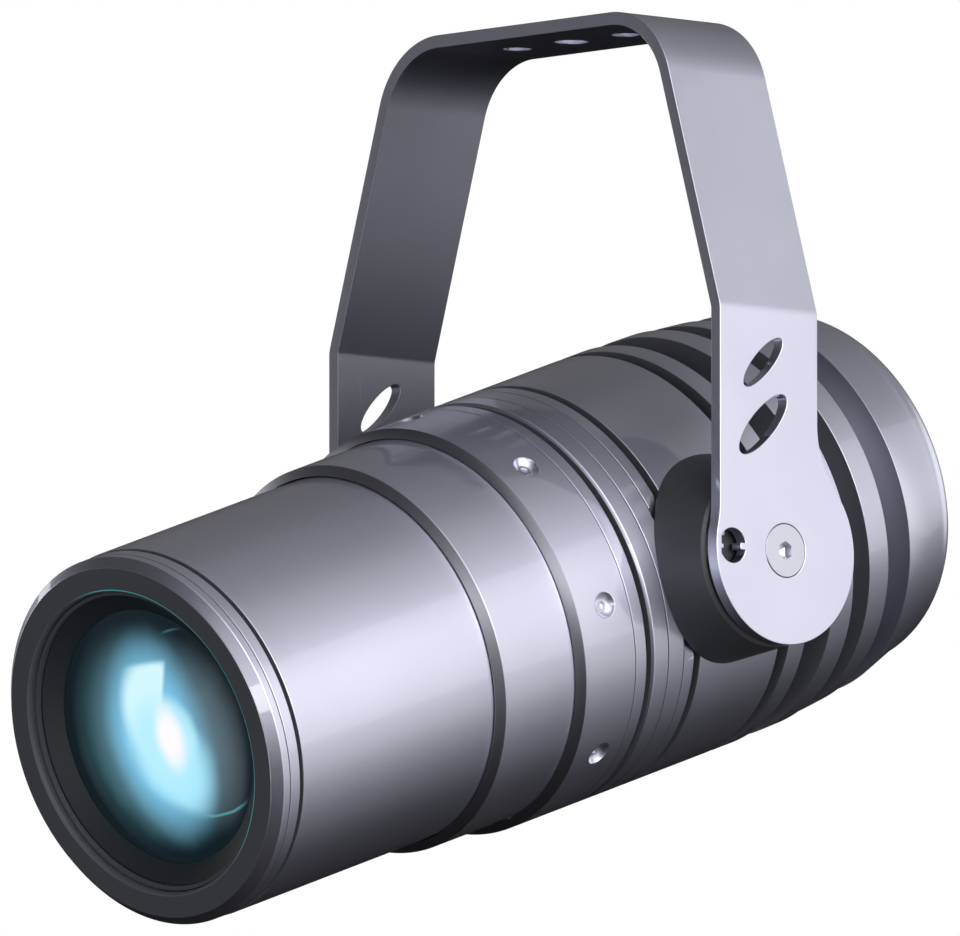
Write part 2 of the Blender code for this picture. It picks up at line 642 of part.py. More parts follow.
def make_boss_tools(lamp):
    """Cutters that the bosses share with the rings under them."""
    seat = BODY_RADIUS + GAP
    half = BOSS_ROOT_RADIUS + BODY_RADIUS - RELIEF_FLOOR
    cutter("body_saddle", turned([(-half, 0.0), (-half, seat), (half, seat), (half, 0.0)],
                                 BODY_FACETS, closed=False), lamp)
    holes = bmesh.new()
    reliefs = bmesh.new()
    for side in (-1.0, 1.0):
        for height in (-BOSS_SCREW_SPACING / 2.0, BOSS_SCREW_SPACING / 2.0):
            rod(holes, (side * SINK_CORE_RADIUS, 0.0, height),
                (side * (BODY_RADIUS + BOSS_SCREW_GRIP + GAP), 0.0, height), BOSS_SCREW_RADIUS + GAP)
        rod(reliefs, (side * RELIEF_FLOOR, 0.0, 0.0), (side * BOSS_END, 0.0, 0.0),
            boss_radius(RELIEF_FLOOR) + RELIEF_MARGIN, BOSS_FACETS)
    cutter("boss_screw_holes", holes, lamp)
    cutter("boss_reliefs", reliefs, lamp)


def make_boss_screws(lamp, finish):
    """Socket screws from inside the housing into the bosses."""
    keys = bmesh.new()
    screws = []
    edge = BOSS_SCREW_SPACING / 2.0 + BOSS_SCREW_HEAD_RADIUS
    seat = math.sqrt(HOUSING_BORE * HOUSING_BORE - edge * edge) - 2.0 * GAP
    top = seat - BOSS_SCREW_HEAD
    tip = BODY_RADIUS + BOSS_SCREW_GRIP
    for side, hand in ((-1.0, "left"), (1.0, "right")):
        for sign, place in ((-1.0, "lower"), (1.0, "upper")):
            height = sign * BOSS_SCREW_SPACING / 2.0
            screw = across(turned([
                (top, 0.0), (top, BOSS_SCREW_HEAD_RADIUS), (seat, BOSS_SCREW_HEAD_RADIUS),
                (seat, BOSS_SCREW_RADIUS), (tip, BOSS_SCREW_RADIUS), (tip, 0.0)],
                SMALL_FACETS, closed=False), side)
            bmesh.ops.translate(screw, verts=screw.verts, vec=(0.0, 0.0, height))
            screws.append(make(f"boss_screw_{hand}_{place}", screw, finish, lamp))
            rod(keys, (side * (top - BOSS_SCREW_HEAD), 0.0, height),
                (side * (top + BOSS_SCREW_HEAD / 2.0), 0.0, height), BOSS_SCREW_RADIUS, 6)
    tool = cutter("boss_screw_keys", keys, lamp)
    for screw in screws:
        boolean(screw, tool)


def make_front(barrel, finishes):
    """Everything that rides on the front barrel."""
    face = FRONT_FACE
    make("front_bezel", turned([
        (face, BEZEL_FACE_RADIUS), (face + BEZEL_RADIUS - BEZEL_FACE_RADIUS, BEZEL_RADIUS),
        (BEZEL_SEAM - GAP / 2.0, BEZEL_RADIUS), (BEZEL_SEAM - GAP / 2.0, BEZEL_BORE),
        (face + BEZEL_LIP, BEZEL_BORE), (face, BEZEL_BORE + BEZEL_LIP)],
        BODY_FACETS), finishes["bezel"], barrel)

    throat = face + RETAINER_THROAT_DEPTH + RETAINER_LAND
    apex = throat + GAP - sphere_rise(RETAINER_THROAT_RADIUS)
    rim = apex + sphere_rise(FRONT_LENS_RADIUS)
    lens_rear = rim + FRONT_LENS_EDGE
    seat = lens_rear + GASKET_THICKNESS + 2.0 * GAP
    step = rim
    spigot = RUNNING_BORE - GAP
    make("bezel_collar", turned([
        (BEZEL_SEAM + GAP / 2.0, BEZEL_RADIUS), (BEZEL_REAR, BEZEL_RADIUS), (BEZEL_REAR, spigot),
        (BEZEL_REAR + COLLAR_SPIGOT_LENGTH, spigot),
        (BEZEL_REAR + COLLAR_SPIGOT_LENGTH, FRONT_LENS_RADIUS - LENS_SEAT_WIDTH),
        (seat, FRONT_LENS_RADIUS - LENS_SEAT_WIDTH), (seat, FRONT_LENS_RADIUS + GAP),
        (step, FRONT_LENS_RADIUS + GAP), (step, BEZEL_BORE), (BEZEL_SEAM + GAP / 2.0, BEZEL_BORE)],
        BODY_FACETS), finishes["satin"], barrel)

    ring = BEZEL_BORE - GAP
    make("lens_trim_ring", turned([
        (face + TRIM_DEPTH, ring), (face + TRIM_DEPTH + TRIM_LENGTH, ring),
        (face + TRIM_DEPTH + TRIM_LENGTH, ring - TRIM_WIDTH), (face + TRIM_DEPTH, ring - TRIM_WIDTH)],
        BODY_FACETS), finishes["dark"], barrel)
    make("lens_retaining_ring", turned([
        (face + RETAINER_DEPTH, ring), (step - GAP, ring), (step - GAP, FRONT_LENS_RADIUS),
        (throat, RETAINER_THROAT_RADIUS), (face + RETAINER_THROAT_DEPTH, RETAINER_THROAT_RADIUS),
        (face + RETAINER_DEPTH, RETAINER_MOUTH_RADIUS)], BODY_FACETS), finishes["bezel"], barrel)

    bulge = -sphere_rise(FRONT_LENS_RADIUS)
    make("front_lens", turned([(lens_rear, 0.0), (lens_rear, FRONT_LENS_RADIUS)]
                              + dome(FRONT_LENS_RADIUS, rim, bulge, 4), INNER_FACETS, closed=False),
         finishes["glass"], barrel)
    make("lens_gasket", turned([
        (lens_rear + GAP, FRONT_LENS_RADIUS), (seat - GAP, FRONT_LENS_RADIUS),
        (seat - GAP, FRONT_LENS_RADIUS - GASKET_WIDTH), (lens_rear + GAP, FRONT_LENS_RADIUS - GASKET_WIDTH)],
        INNER_FACETS), finishes["rubber"], barrel)

    tube = make("front_barrel", turned([
        (BARREL_FRONT, BARREL_RADIUS), (BARREL_REAR, BARREL_RADIUS), (BARREL_REAR, RUNNING_BORE),
        (BARREL_FRONT, RUNNING_BORE)], BODY_FACETS), finishes["satin"], barrel)
    pin_tip = RUNNING_BORE + BARREL_PIN_DEPTH
    angles = spaced(PIN_COUNT, BARREL_PIN_ANGLE)
    boolean(tube, cutter("barrel_pin_holes", radial_rods(
        angles, BARREL_PIN_STATION, CORE_BORE, pin_tip + GAP, DRIVE_PIN_RADIUS + GAP), barrel))
    radial_pieces("barrel_cam_pin", angles, BARREL_PIN_STATION, CAM_BORE + GAP, pin_tip,
                  DRIVE_PIN_RADIUS, PIN_FACETS, finishes["bright"], barrel)


def sphere_rise(radius):
    """How far the front lens's curved face lies behind its middle, at a radius."""
    return FRONT_LENS_CURVE - math.sqrt(FRONT_LENS_CURVE * FRONT_LENS_CURVE - radius * radius)


def make_core(lamp, finishes):
    """Inner tube with straight slots for the sliding pins and arcs for the collar's pins."""
    core = make("core_tube", turned([
        (CORE_FRONT, CORE_RADIUS), (CORE_REAR, CORE_RADIUS), (CORE_REAR, CORE_BORE),
        (CORE_FRONT, CORE_BORE)], BODY_FACETS), finishes["dark"], lamp)
    slots = bmesh.new()
    half = DRIVE_PIN_RADIUS + PIN_PLAY
    inner = CORE_BORE - CORE_WALL
    outer = CORE_RADIUS + CORE_WALL
    for first, station, travel in ((BARREL_PIN_ANGLE, BARREL_PIN_STATION, abs(BARREL_TRAVEL)),
                                   (CARRIAGE_PIN_ANGLE, CARRIAGE_STATION, abs(CARRIAGE_TRAVEL))):
        for angle in spaced(PIN_COUNT, first):
            groove([(angle, station - travel), (angle, station + travel)], half, inner, outer, slots)
    station = (COLLAR_FRONT + COLLAR_SEAM) / 2.0
    steps = 6
    for angle in spaced(PIN_COUNT, DRIVE_PIN_ANGLE):
        path = [(angle + COLLAR_TURN * (2.0 * i / steps - 1.0), station) for i in range(steps + 1)]
        groove(path, half, inner, outer, slots)
    boolean(core, cutter("core_slots", slots, lamp))


def make_collar(turning, finishes):
    """The zoom collar, its pins, and the cam sleeve that they turn."""
    collar = make("zoom_collar", turned([
        (COLLAR_FRONT, BODY_RADIUS - COLLAR_CHAMFER), (COLLAR_FRONT + COLLAR_CHAMFER, BODY_RADIUS),
        (COLLAR_SEAM - GAP / 2.0, BODY_RADIUS), (COLLAR_SEAM - GAP / 2.0, RUNNING_BORE),
        (COLLAR_FRONT, RUNNING_BORE)], BODY_FACETS), finishes["satin"], turning)
    sleeve = make("cam_sleeve", turned([
        (CAM_FRONT, CAM_RADIUS), (CAM_REAR, CAM_RADIUS), (CAM_REAR, CAM_BORE), (CAM_FRONT, CAM_BORE)],
        BODY_FACETS), finishes["dark"], turning)
    half = DRIVE_PIN_RADIUS + PIN_PLAY
    slots = bmesh.new()
    for first, station, travel in ((BARREL_PIN_ANGLE, BARREL_PIN_STATION, BARREL_TRAVEL),
                                   (CARRIAGE_PIN_ANGLE, CARRIAGE_STATION, CARRIAGE_TRAVEL)):
        for angle in spaced(PIN_COUNT, first):
            groove(cam_path(angle, station, travel), half, CAM_BORE - CAM_WALL,
                   CAM_RADIUS + CAM_WALL, slots)
    boolean(sleeve, cutter("cam_slots", slots, turning))

    station = (COLLAR_FRONT + COLLAR_SEAM) / 2.0
    angles = spaced(PIN_COUNT, DRIVE_PIN_ANGLE)
    tip = RUNNING_BORE + DRIVE_PIN_DEPTH
    holes = cutter("drive_pin_holes", radial_rods(
        angles, station, CAM_BORE - CAM_WALL, tip + GAP, DRIVE_PIN_RADIUS + GAP), turning)
    boolean(collar, holes)
    boolean(sleeve, holes)
    radial_pieces("collar_drive_pin", angles, station, CAM_BORE + GAP, tip, DRIVE_PIN_RADIUS,
                  PIN_FACETS, finishes["bright"], turning)


def make_carriage(sliding, finishes):
    """The zoom lens in its carriage, with the pins that reach through the cam sleeve."""
    front = CARRIAGE_STATION - CARRIAGE_LENGTH / 2.0
    rear = CARRIAGE_STATION + CARRIAGE_LENGTH / 2.0
    lens_rear = CARRIAGE_STATION + ZOOM_LENS_EDGE / 2.0
    lens_front = CARRIAGE_STATION - ZOOM_LENS_EDGE / 2.0
    throat = ZOOM_LENS_RADIUS - CARRIAGE_LIP
    rise = face_rise(ZOOM_LENS_RADIUS, ZOOM_LENS_SAG, throat)
    carriage = make("lens_carriage", turned([
        (front, CARRIAGE_RADIUS), (rear, CARRIAGE_RADIUS), (rear, throat),
        (lens_rear + rise + GAP, throat), (lens_rear + GAP, ZOOM_LENS_RADIUS + GAP),
        (front, ZOOM_LENS_RADIUS + GAP)],
        BODY_FACETS), finishes["dark"], sliding)
    make("zoom_lens", turned(
        dome(ZOOM_LENS_RADIUS, lens_rear, ZOOM_LENS_SAG, 3)[::-1]
        + dome(ZOOM_LENS_RADIUS, lens_front, -ZOOM_LENS_SAG, 3),
        INNER_FACETS, closed=False), finishes["glass"], sliding)
    clip_rear = lens_front - GAP
    clip_front = clip_rear - rise - CLIP_THICKNESS
    make("carriage_lens_clip", turned([
        (clip_rear, ZOOM_LENS_RADIUS), (clip_rear - rise, throat), (clip_front, throat),
        (clip_front, ZOOM_LENS_RADIUS)], INNER_FACETS), finishes["bright"], sliding)
    angles = spaced(PIN_COUNT, CARRIAGE_PIN_ANGLE)
    root = CARRIAGE_RADIUS - CARRIAGE_PIN_DEPTH
    boolean(carriage, cutter("carriage_pin_holes", radial_rods(
        angles, CARRIAGE_STATION, root - GAP, CORE_RADIUS, DRIVE_PIN_RADIUS + GAP), sliding))
    radial_pieces("carriage_cam_pin", angles, CARRIAGE_STATION, root, CORE_RADIUS - GAP,
                  DRIVE_PIN_RADIUS, PIN_FACETS, finishes["bright"], sliding)


def make_rings(lamp, finishes):
    """Fixed rings and sleeves on the core tube, from the front."""
    satin = finishes["satin"]
    inner = make("inner_sleeve", turned([
        (INNER_SLEEVE_FRONT, BARREL_RADIUS + RUNNING_FIT),
        (INNER_SLEEVE_FRONT + INNER_SLEEVE_BEVEL, INNER_SLEEVE_RADIUS),
        (SLEEVE_SEAM - GAP / 2.0, INNER_SLEEVE_RADIUS), (SLEEVE_SEAM - GAP / 2.0, RING_BORE),
        (SLEEVE_SEAM - GAP / 2.0 - SLEEVE_FLANGE, RING_BORE),
        (SLEEVE_SEAM - GAP / 2.0 - SLEEVE_FLANGE, BARREL_RADIUS + RUNNING_FIT)],
        BODY_FACETS), satin, lamp)
    outer = make("outer_sleeve", turned([
        (OUTER_SLEEVE_FRONT, INNER_SLEEVE_RADIUS + GAP),
        (OUTER_SLEEVE_FRONT + OUTER_SLEEVE_BEVEL, BODY_RADIUS), (SLEEVE_SEAM - GAP / 2.0, BODY_RADIUS),
        (SLEEVE_SEAM - GAP / 2.0, INNER_SLEEVE_RADIUS + GAP)], BODY_FACETS), satin, lamp)
    angles = spaced(DIMPLE_COUNT, 0.0)
    holes = cutter("sleeve_screw_holes", radial_rods(
        angles, DIMPLE_STATION, BARREL_RADIUS, BODY_RADIUS, SLEEVE_SCREW_RADIUS + GAP), lamp)
    boolean(inner, holes)
    boolean(outer, holes)
    flare = DIMPLE_RADIUS - DIMPLE_FLOOR_RADIUS
    boolean(outer, cutter("sleeve_dimples", radial_rods(
        angles, DIMPLE_STATION, BODY_RADIUS - DIMPLE_DEPTH, BODY_RADIUS + DIMPLE_DEPTH,
        DIMPLE_FLOOR_RADIUS, PIN_FACETS, DIMPLE_FLOOR_RADIUS + 2.0 * flare), lamp))
    top = BODY_RADIUS - DIMPLE_DEPTH
    keys = cutter("sleeve_screw_keys", radial_rods(
        angles, DIMPLE_STATION, top - SLEEVE_SCREW_KEY_DEPTH, top + SLEEVE_SCREW_KEY_DEPTH,
        SLEEVE_SCREW_KEY / math.sqrt(3.0), 6), lamp)
    for screw in radial_pieces("sleeve_screw", angles, DIMPLE_STATION, BARREL_RADIUS + RUNNING_FIT + GAP, top,
                               SLEEVE_SCREW_RADIUS, PIN_FACETS, finishes["bright"], lamp):
        boolean(screw, keys)

    bands = (("lock_ring", SLEEVE_SEAM + GAP / 2.0, LOCK_RING_REAR),
             ("fixed_collar", COLLAR_SEAM + GAP / 2.0, RELIEF_SEAM - GAP / 2.0),
             ("relief_ring", RELIEF_SEAM + GAP / 2.0, RELIEF_RING_REAR))
    for name, front, rear in bands:
        ring = make(name, turned([
            (front, BODY_RADIUS), (rear, BODY_RADIUS), (rear, RING_BORE), (front, RING_BORE)],
            BODY_FACETS), satin, lamp)
        if name == "relief_ring":
            boolean(ring, bpy.data.objects["boss_reliefs"])

    housing = make("main_housing", turned([
        (HOUSING_FRONT, BODY_RADIUS), (HOUSING_REAR, BODY_RADIUS), (HOUSING_REAR, HOUSING_BORE),
        (HOUSING_FRONT + HOUSING_FLANGE, HOUSING_BORE), (HOUSING_FRONT + HOUSING_FLANGE, RING_BORE),
        (HOUSING_FRONT, RING_BORE)], BODY_FACETS), satin, lamp)
    boolean(housing, bpy.data.objects["boss_screw_holes"])


def make_light_source(lamp, finishes):
    board_front = SINK_FRONT - GAP - BOARD_THICKNESS
    make("led_board", turned([
        (board_front, 0.0), (board_front, LED_BOARD_RADIUS),
        (SINK_FRONT - GAP, LED_BOARD_RADIUS), (SINK_FRONT - GAP, 0.0)],
        INNER_FACETS, closed=False), finishes["board"], lamp)
    base = board_front - GAP - EMITTER_BASE
    make("led_emitter", turned(
        [(board_front - GAP, 0.0), (board_front - GAP, EMITTER_RADIUS), (base, EMITTER_RADIUS)]
        + dome(EMITTER_DOME_RADIUS, base, -EMITTER_DOME_HEIGHT, 3),
        2 * SMALL_FACETS, closed=False), finishes["emitter"], lamp)

    seat = CONDENSER_RADIUS + GAP
    shoulder = CONDENSER_FLAT + GAP
    make("condenser_holder", turned([
        (HOLDER_FRONT, seat + CONDENSER_WALL), (SINK_FRONT - GAP, seat + CONDENSER_WALL),
        (SINK_FRONT - GAP, CONDENSER_RADIUS - CONDENSER_LIP),
        (shoulder, CONDENSER_RADIUS - CONDENSER_LIP), (shoulder, seat), (HOLDER_FRONT, seat)],
        INNER_FACETS), finishes["dark"], lamp)
    edge = CONDENSER_FLAT - CONDENSER_EDGE
    make("condenser_lens", turned(
        [(CONDENSER_FLAT, 0.0), (CONDENSER_FLAT, CONDENSER_RADIUS)]
        + dome(CONDENSER_RADIUS, edge, -CONDENSER_SAG, 4), INNER_FACETS, closed=False),
        finishes["glass"], lamp)
    clip_bore = CONDENSER_RADIUS - CONDENSER_CLIP_WIDTH
    rise = face_rise(CONDENSER_RADIUS, CONDENSER_SAG, clip_bore)
    make("condenser_clip", turned([
        (edge - GAP, CONDENSER_RADIUS), (edge - GAP - rise, clip_bore),
        (edge - CONDENSER_CLIP_LENGTH, clip_bore), (edge - CONDENSER_CLIP_LENGTH, CONDENSER_RADIUS)],
        INNER_FACETS), finishes["bright"], lamp)
    gate = CORE_REAR + GAP
    edge = CORE_RADIUS - RUNNING_FIT
    make("gate_plate", turned([
        (gate, edge), (gate + GATE_THICKNESS, edge), (gate + GATE_THICKNESS, GATE_RADIUS),
        (gate, GATE_RADIUS)], INNER_FACETS), finishes["dark"], lamp)


def make_heat_sink(lamp, finishes):
    """Round core with three deep ring fins, and posts for the rear cap's screws."""
    core = SINK_CORE_RADIUS
    sink = make("heat_sink", turned([
        (SINK_FRONT, 0.0), (SINK_FRONT, HOUSING_BORE - GAP), (HOUSING_REAR, HOUSING_BORE - GAP),
        (HOUSING_REAR, core), (FIN_1_FRONT, core), (FIN_1_FRONT, BODY_RADIUS),
        (FIN_1_REAR, BODY_RADIUS), (FIN_1_REAR, core), (FIN_2_FRONT, core),
        (FIN_2_FRONT, FIN_2_RADIUS), (FIN_2_REAR, FIN_2_REAR_RADIUS), (FIN_2_REAR, core),
        (FIN_3_FRONT, core), (FIN_3_FRONT, FIN_3_RADIUS), (FIN_3_REAR, FIN_3_REAR_RADIUS),
        (FIN_3_REAR, core), (SINK_REAR, core), (SINK_REAR, 0.0)],
        BODY_FACETS, closed=False), finishes["sink"], lamp)
    posts = bmesh.new()
    bores = bmesh.new()
    post_top = CAP_REAR - CAP_WALL - GAP
    for angle in spaced(CAP_SCREW_COUNT, CAP_SCREW_ANGLE):
        rod(posts, around(angle, CAP_SCREW_CIRCLE, SINK_REAR - CAP_WALL),
            around(angle, CAP_SCREW_CIRCLE, post_top), CAP_POST_RADIUS)
        rod(bores, around(angle, CAP_SCREW_CIRCLE, CAP_REAR - CAP_SCREW_LENGTH - GAP),
            around(angle, CAP_SCREW_CIRCLE, CAP_REAR), CAP_SCREW_RADIUS + GAP)
    boolean(sink, cutter("cap_posts", posts, lamp), "UNION")
    boolean(sink, cutter("cap_post_bores", bores, lamp))


def make_rear_cap(lamp, finishes):
    """Shell with a flange over the heat sink's core and a rounded rear edge."""
    axial = CAP_REAR - CAP_ROUND_START
    radial = CAP_ROUND_RADIUS - CAP_FACE_RADIUS
    steps = 3
    edge = []
    for i in range(steps + 1):
        angle = math.pi / 2.0 * i / steps
        edge.append((CAP_ROUND_START + axial * math.sin(angle), CAP_FACE_RADIUS + radial * math.cos(angle)))
    cap = make("rear_cap", turned(
        [(CAP_REAR, 0.0)] + edge[::-1]
        + [(CAP_FRONT, CAP_FRONT_RADIUS), (CAP_FRONT, SINK_CORE_RADIUS + GAP),
           (CAP_FRONT + CAP_WALL, SINK_CORE_RADIUS + GAP),
           (CAP_FRONT + CAP_WALL, CAP_FRONT_RADIUS - CAP_WALL),
           (CAP_ROUND_START, CAP_ROUND_RADIUS - CAP_WALL),
           (CAP_REAR - CAP_WALL, CAP_FACE_RADIUS), (CAP_REAR - CAP_WALL, 0.0)],
        BODY_FACETS, closed=False), finishes["cap"], lamp)

    head = CAP_SCREW_HEAD_RADIUS - CAP_SCREW_RADIUS
    seats = bmesh.new()
    keys = bmesh.new()
    screws = []
    for i, angle in enumerate(spaced(CAP_SCREW_COUNT, CAP_SCREW_ANGLE), start=1):
        screw = turned([(0.0, 0.0), (0.0, CAP_SCREW_HEAD_RADIUS), (-head, CAP_SCREW_RADIUS),
                        (-CAP_SCREW_LENGTH, CAP_SCREW_RADIUS), (-CAP_SCREW_LENGTH, 0.0)],
                       SMALL_FACETS, closed=False)
        face = around(angle, CAP_SCREW_CIRCLE, CAP_REAR)
        bmesh.ops.translate(screw, verts=screw.verts, vec=face)
        screws.append(make(f"cap_screw_{i}", screw, finishes["bright"], lamp))
        seat = turned([(GAP, 0.0), (GAP, CAP_SCREW_HEAD_RADIUS + 2.0 * GAP),
                       (-head, CAP_SCREW_RADIUS + GAP), (-2.0 * CAP_WALL, CAP_SCREW_RADIUS + GAP),
                       (-2.0 * CAP_WALL, 0.0)], SMALL_FACETS, closed=False)
        bmesh.ops.translate(seat, verts=seat.verts, vec=face)
        add_shell(seats, seat)
        rod(keys, face - Vector((0.0, CAP_SCREW_KEY_DEPTH, 0.0)), face + Vector((0.0, GAP, 0.0)),
            CAP_SCREW_KEY / math.sqrt(3.0), 6)
    boolean(cap, cutter("cap_screw_seats", seats, lamp))
    tool = cutter("cap_screw_keys", keys, lamp)
    for screw in screws:
        boolean(screw, tool)
    return cap


def make_driver(lamp, finishes):
    front = SINK_REAR + SPACER_LENGTH + 2.0 * GAP
    make("driver_board", turned([
        (front, 0.0), (front, DRIVER_BOARD_RADIUS), (front + BOARD_THICKNESS, DRIVER_BOARD_RADIUS),
        (front + BOARD_THICKNESS, 0.0)], INNER_FACETS, closed=False), finishes["board"], lamp)
    make("driver_spacer", turned([
        (SINK_REAR + GAP, SPACER_RADIUS), (front - GAP, SPACER_RADIUS),
        (front - GAP, SPACER_RADIUS - SPACER_WALL), (SINK_REAR + GAP, SPACER_RADIUS - SPACER_WALL)],
        INNER_FACETS), finishes["plastic"], lamp)


def make_gland(cap, lamp, finishes):
    """Cable inlet on the rear face: a body screwed into the cap and the clamping nut outside."""
    low = (0.0, 0.0, -GLAND_DROP)
    seat = CAP_REAR + GAP
    flange = seat + GLAND_FLANGE
    stub = flange + GLAND_STUB
    inside = CAP_REAR - GLAND_THREAD_IN
    hole = bmesh.new()
    rod(hole, (0.0, CAP_REAR - 2.0 * CAP_WALL, -GLAND_DROP), (0.0, CAP_REAR + CAP_WALL, -GLAND_DROP),
        GLAND_THREAD_RADIUS + GAP, 2 * SMALL_FACETS)
    boolean(cap, cutter("gland_hole", hole, lamp))

    corner = GLAND_KEY / math.sqrt(3.0)
    body = turned([(inside, GLAND_THREAD_RADIUS), (seat, GLAND_THREAD_RADIUS), (seat, corner),
                   (flange, corner), (flange, GLAND_THREAD_RADIUS), (stub, GLAND_THREAD_RADIUS),
                   (stub, GLAND_BORE), (inside, GLAND_BORE)], 2 * SMALL_FACETS)
    bmesh.ops.translate(body, verts=body.verts, vec=low)
    gland = make("cable_gland", body, finishes["plastic"], lamp)
    length = stub - inside + 2.0 * GLAND_KEY
    flats = prism(hexagon(GLAND_KEY), "Z", -length / 2.0, length / 2.0)
    bmesh.ops.rotate(flats, verts=flats.verts, matrix=Matrix.Rotation(math.pi / 2.0, 3, "X"))
    bmesh.ops.translate(flats, verts=flats.verts, vec=(0.0, (inside + stub) / 2.0, -GLAND_DROP))
    hexes = cutter("gland_flats", flats, lamp)
    boolean(gland, hexes, "INTERSECT")

    nut_front = flange + GAP
    nut_rear = nut_front + GLAND_NUT_LENGTH
    skirt = GLAND_THREAD_RADIUS + GAP
    wall = GLAND_KEY / 2.0 - GLAND_THREAD_RADIUS
    nut = turned([(nut_front, skirt), (nut_front, corner), (nut_rear - wall, corner),
                  (nut_rear, GLAND_BORE + wall), (nut_rear, GLAND_BORE), (stub + GAP, GLAND_BORE),
                  (stub + GAP, skirt)], 2 * SMALL_FACETS)
    bmesh.ops.translate(nut, verts=nut.verts, vec=low)
    boolean(make("gland_nut", nut, finishes["plastic"], lamp), hexes, "INTERSECT")


def build():
    clear_scene()
    finishes = {
        "yoke": surface("yoke_silver", (0.62, 0.63, 0.70), 0.42, 0.75),
        "satin": surface("satin_silver", (0.55, 0.55, 0.62), 0.36, 0.90),
        "sink": surface("anodised_silver", (0.50, 0.50, 0.56), 0.38, 0.90),
        "cap": surface("cap_silver", (0.56, 0.56, 0.63), 0.36, 0.90),
        "boss": surface("boss_grey", (0.10, 0.10, 0.11), 0.48, 0.60),
        "bezel": surface("bezel_grey", (0.05, 0.05, 0.055), 0.45, 0.60),
        "dark": surface("dark_anodised", (0.035, 0.035, 0.04), 0.50, 0.50),
        "bright": surface("screw_steel", (0.62, 0.62, 0.64), 0.30, 1.00),
        "glass": surface("lens_glass", (0.55, 0.85, 0.95), 0.05, 0.0, 0.6),
        "rubber": surface("gasket_rubber", (0.02, 0.02, 0.02), 0.80, 0.0),
        "board": surface("board_white", (0.75, 0.76, 0.74), 0.50, 0.0),
        "emitter": surface("emitter_yellow", (0.90, 0.75, 0.25), 0.30, 0.0),
        "plastic": surface("gland_black", (0.02, 0.02, 0.022), 0.55, 0.0),
    }
    yoke_frame = empty("yoke_frame", location=(0.0, STRAP_FORWARD, -PIVOT_DROP))
    lamp = empty("lamp_tilt", yoke_frame, tilt=REST_TILT)
    barrel = empty("barrel_slide", lamp)
    turning = empty("collar_turn", lamp)
    sliding = empty("carriage_slide", lamp)

    make_yoke(yoke_frame, finishes["yoke"])
    make_boss_tools(lamp)
    make_pivot(yoke_frame, lamp, finishes)
    make_boss_screws(lamp, finishes["bright"])
    make_front(barrel, finishes)
    make_core(lamp, finishes)
    make_collar(turning, finishes)
    make_carriage(sliding, finishes)
    make_rings(lamp, finishes)
    make_light_source(lamp, finishes)
    make_heat_sink(lamp, finishes)
    cap = make_rear_cap(lamp, finishes)
    make_driver(lamp, finishes)
    make_gland(cap, lamp, finishes)


build()
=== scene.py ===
# Zoom stage spotlight: the finished look over its solids.
# Sizes of the lamp and its yoke are millimetres. A station runs along the lamp's axis, from the pivot
# towards the rear, and a radius runs out from that axis. Places in the studio are metres.

import json
import math

import bmesh
import bpy
from mathutils import Matrix, Vector


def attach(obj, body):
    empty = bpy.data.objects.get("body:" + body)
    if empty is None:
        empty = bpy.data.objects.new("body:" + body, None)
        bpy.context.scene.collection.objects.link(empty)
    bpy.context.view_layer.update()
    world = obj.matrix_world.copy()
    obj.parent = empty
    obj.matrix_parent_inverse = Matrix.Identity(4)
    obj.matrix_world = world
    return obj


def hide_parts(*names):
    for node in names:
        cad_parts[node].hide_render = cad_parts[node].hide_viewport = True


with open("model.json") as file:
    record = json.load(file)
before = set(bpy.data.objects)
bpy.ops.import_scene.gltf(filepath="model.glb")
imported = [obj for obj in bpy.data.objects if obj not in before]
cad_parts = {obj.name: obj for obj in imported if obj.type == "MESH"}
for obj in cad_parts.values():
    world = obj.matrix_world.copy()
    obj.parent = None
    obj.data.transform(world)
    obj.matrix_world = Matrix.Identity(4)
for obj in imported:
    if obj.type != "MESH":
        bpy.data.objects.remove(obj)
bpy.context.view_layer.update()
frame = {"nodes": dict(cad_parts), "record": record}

MM = 0.001
QUARTER = math.pi / 2.0

# Where the lamp hangs
PIVOT = Vector((0.0, 0.0085, -0.205))
REST_TILT = 19.41
TO_LAMP = Matrix.Translation(PIVOT) @ Matrix.Rotation(math.radians(REST_TILT), 4, "X")
TO_YOKE = Matrix.Translation(PIVOT)

# Facets round a turned piece
SADDLE_ROUND = 256
ROUND = 192
BOSS_ROUND = 128
POCKET_ROUND = 96
SMALL_ROUND = 48

EDGE = 0.3              # rounding of a machined edge
FINE_EDGE = 0.2         # the same on a thin ring
HAIRLINE = 0.15         # half the gap where two rings meet

# Radii shared by several rings
BODY = 78.7
SLEEVE = 75.0
BARREL = 71.0
BAND = 70.7             # bezel and its collar
RUNNING_BORE = 66.5     # barrel and zoom collar
RING_BORE = 66.3        # rings that stay still

# Stations of the seams and ends of the rings
FACE = -240.8
BEZEL_SEAM = -233.8
BEZEL_REAR = -228.75
BARREL_FRONT = -227.1
BARREL_REAR = -72.0
SLEEVE_FLANGE = -59.95
SLEEVE_SEAM = -57.1
LOCK_REAR = -51.3
ZOOM_FRONT = -47.85
COLLAR_SEAM = -39.2
RELIEF_SEAM = -30.8
RELIEF_REAR = -25.3
HOUSING_FRONT = -21.8
HOUSING_STEP = -12.0
HOUSING_REAR = 21.9
HOUSING_BORE = 72.5
ZOOM_CHAMFER = 0.9

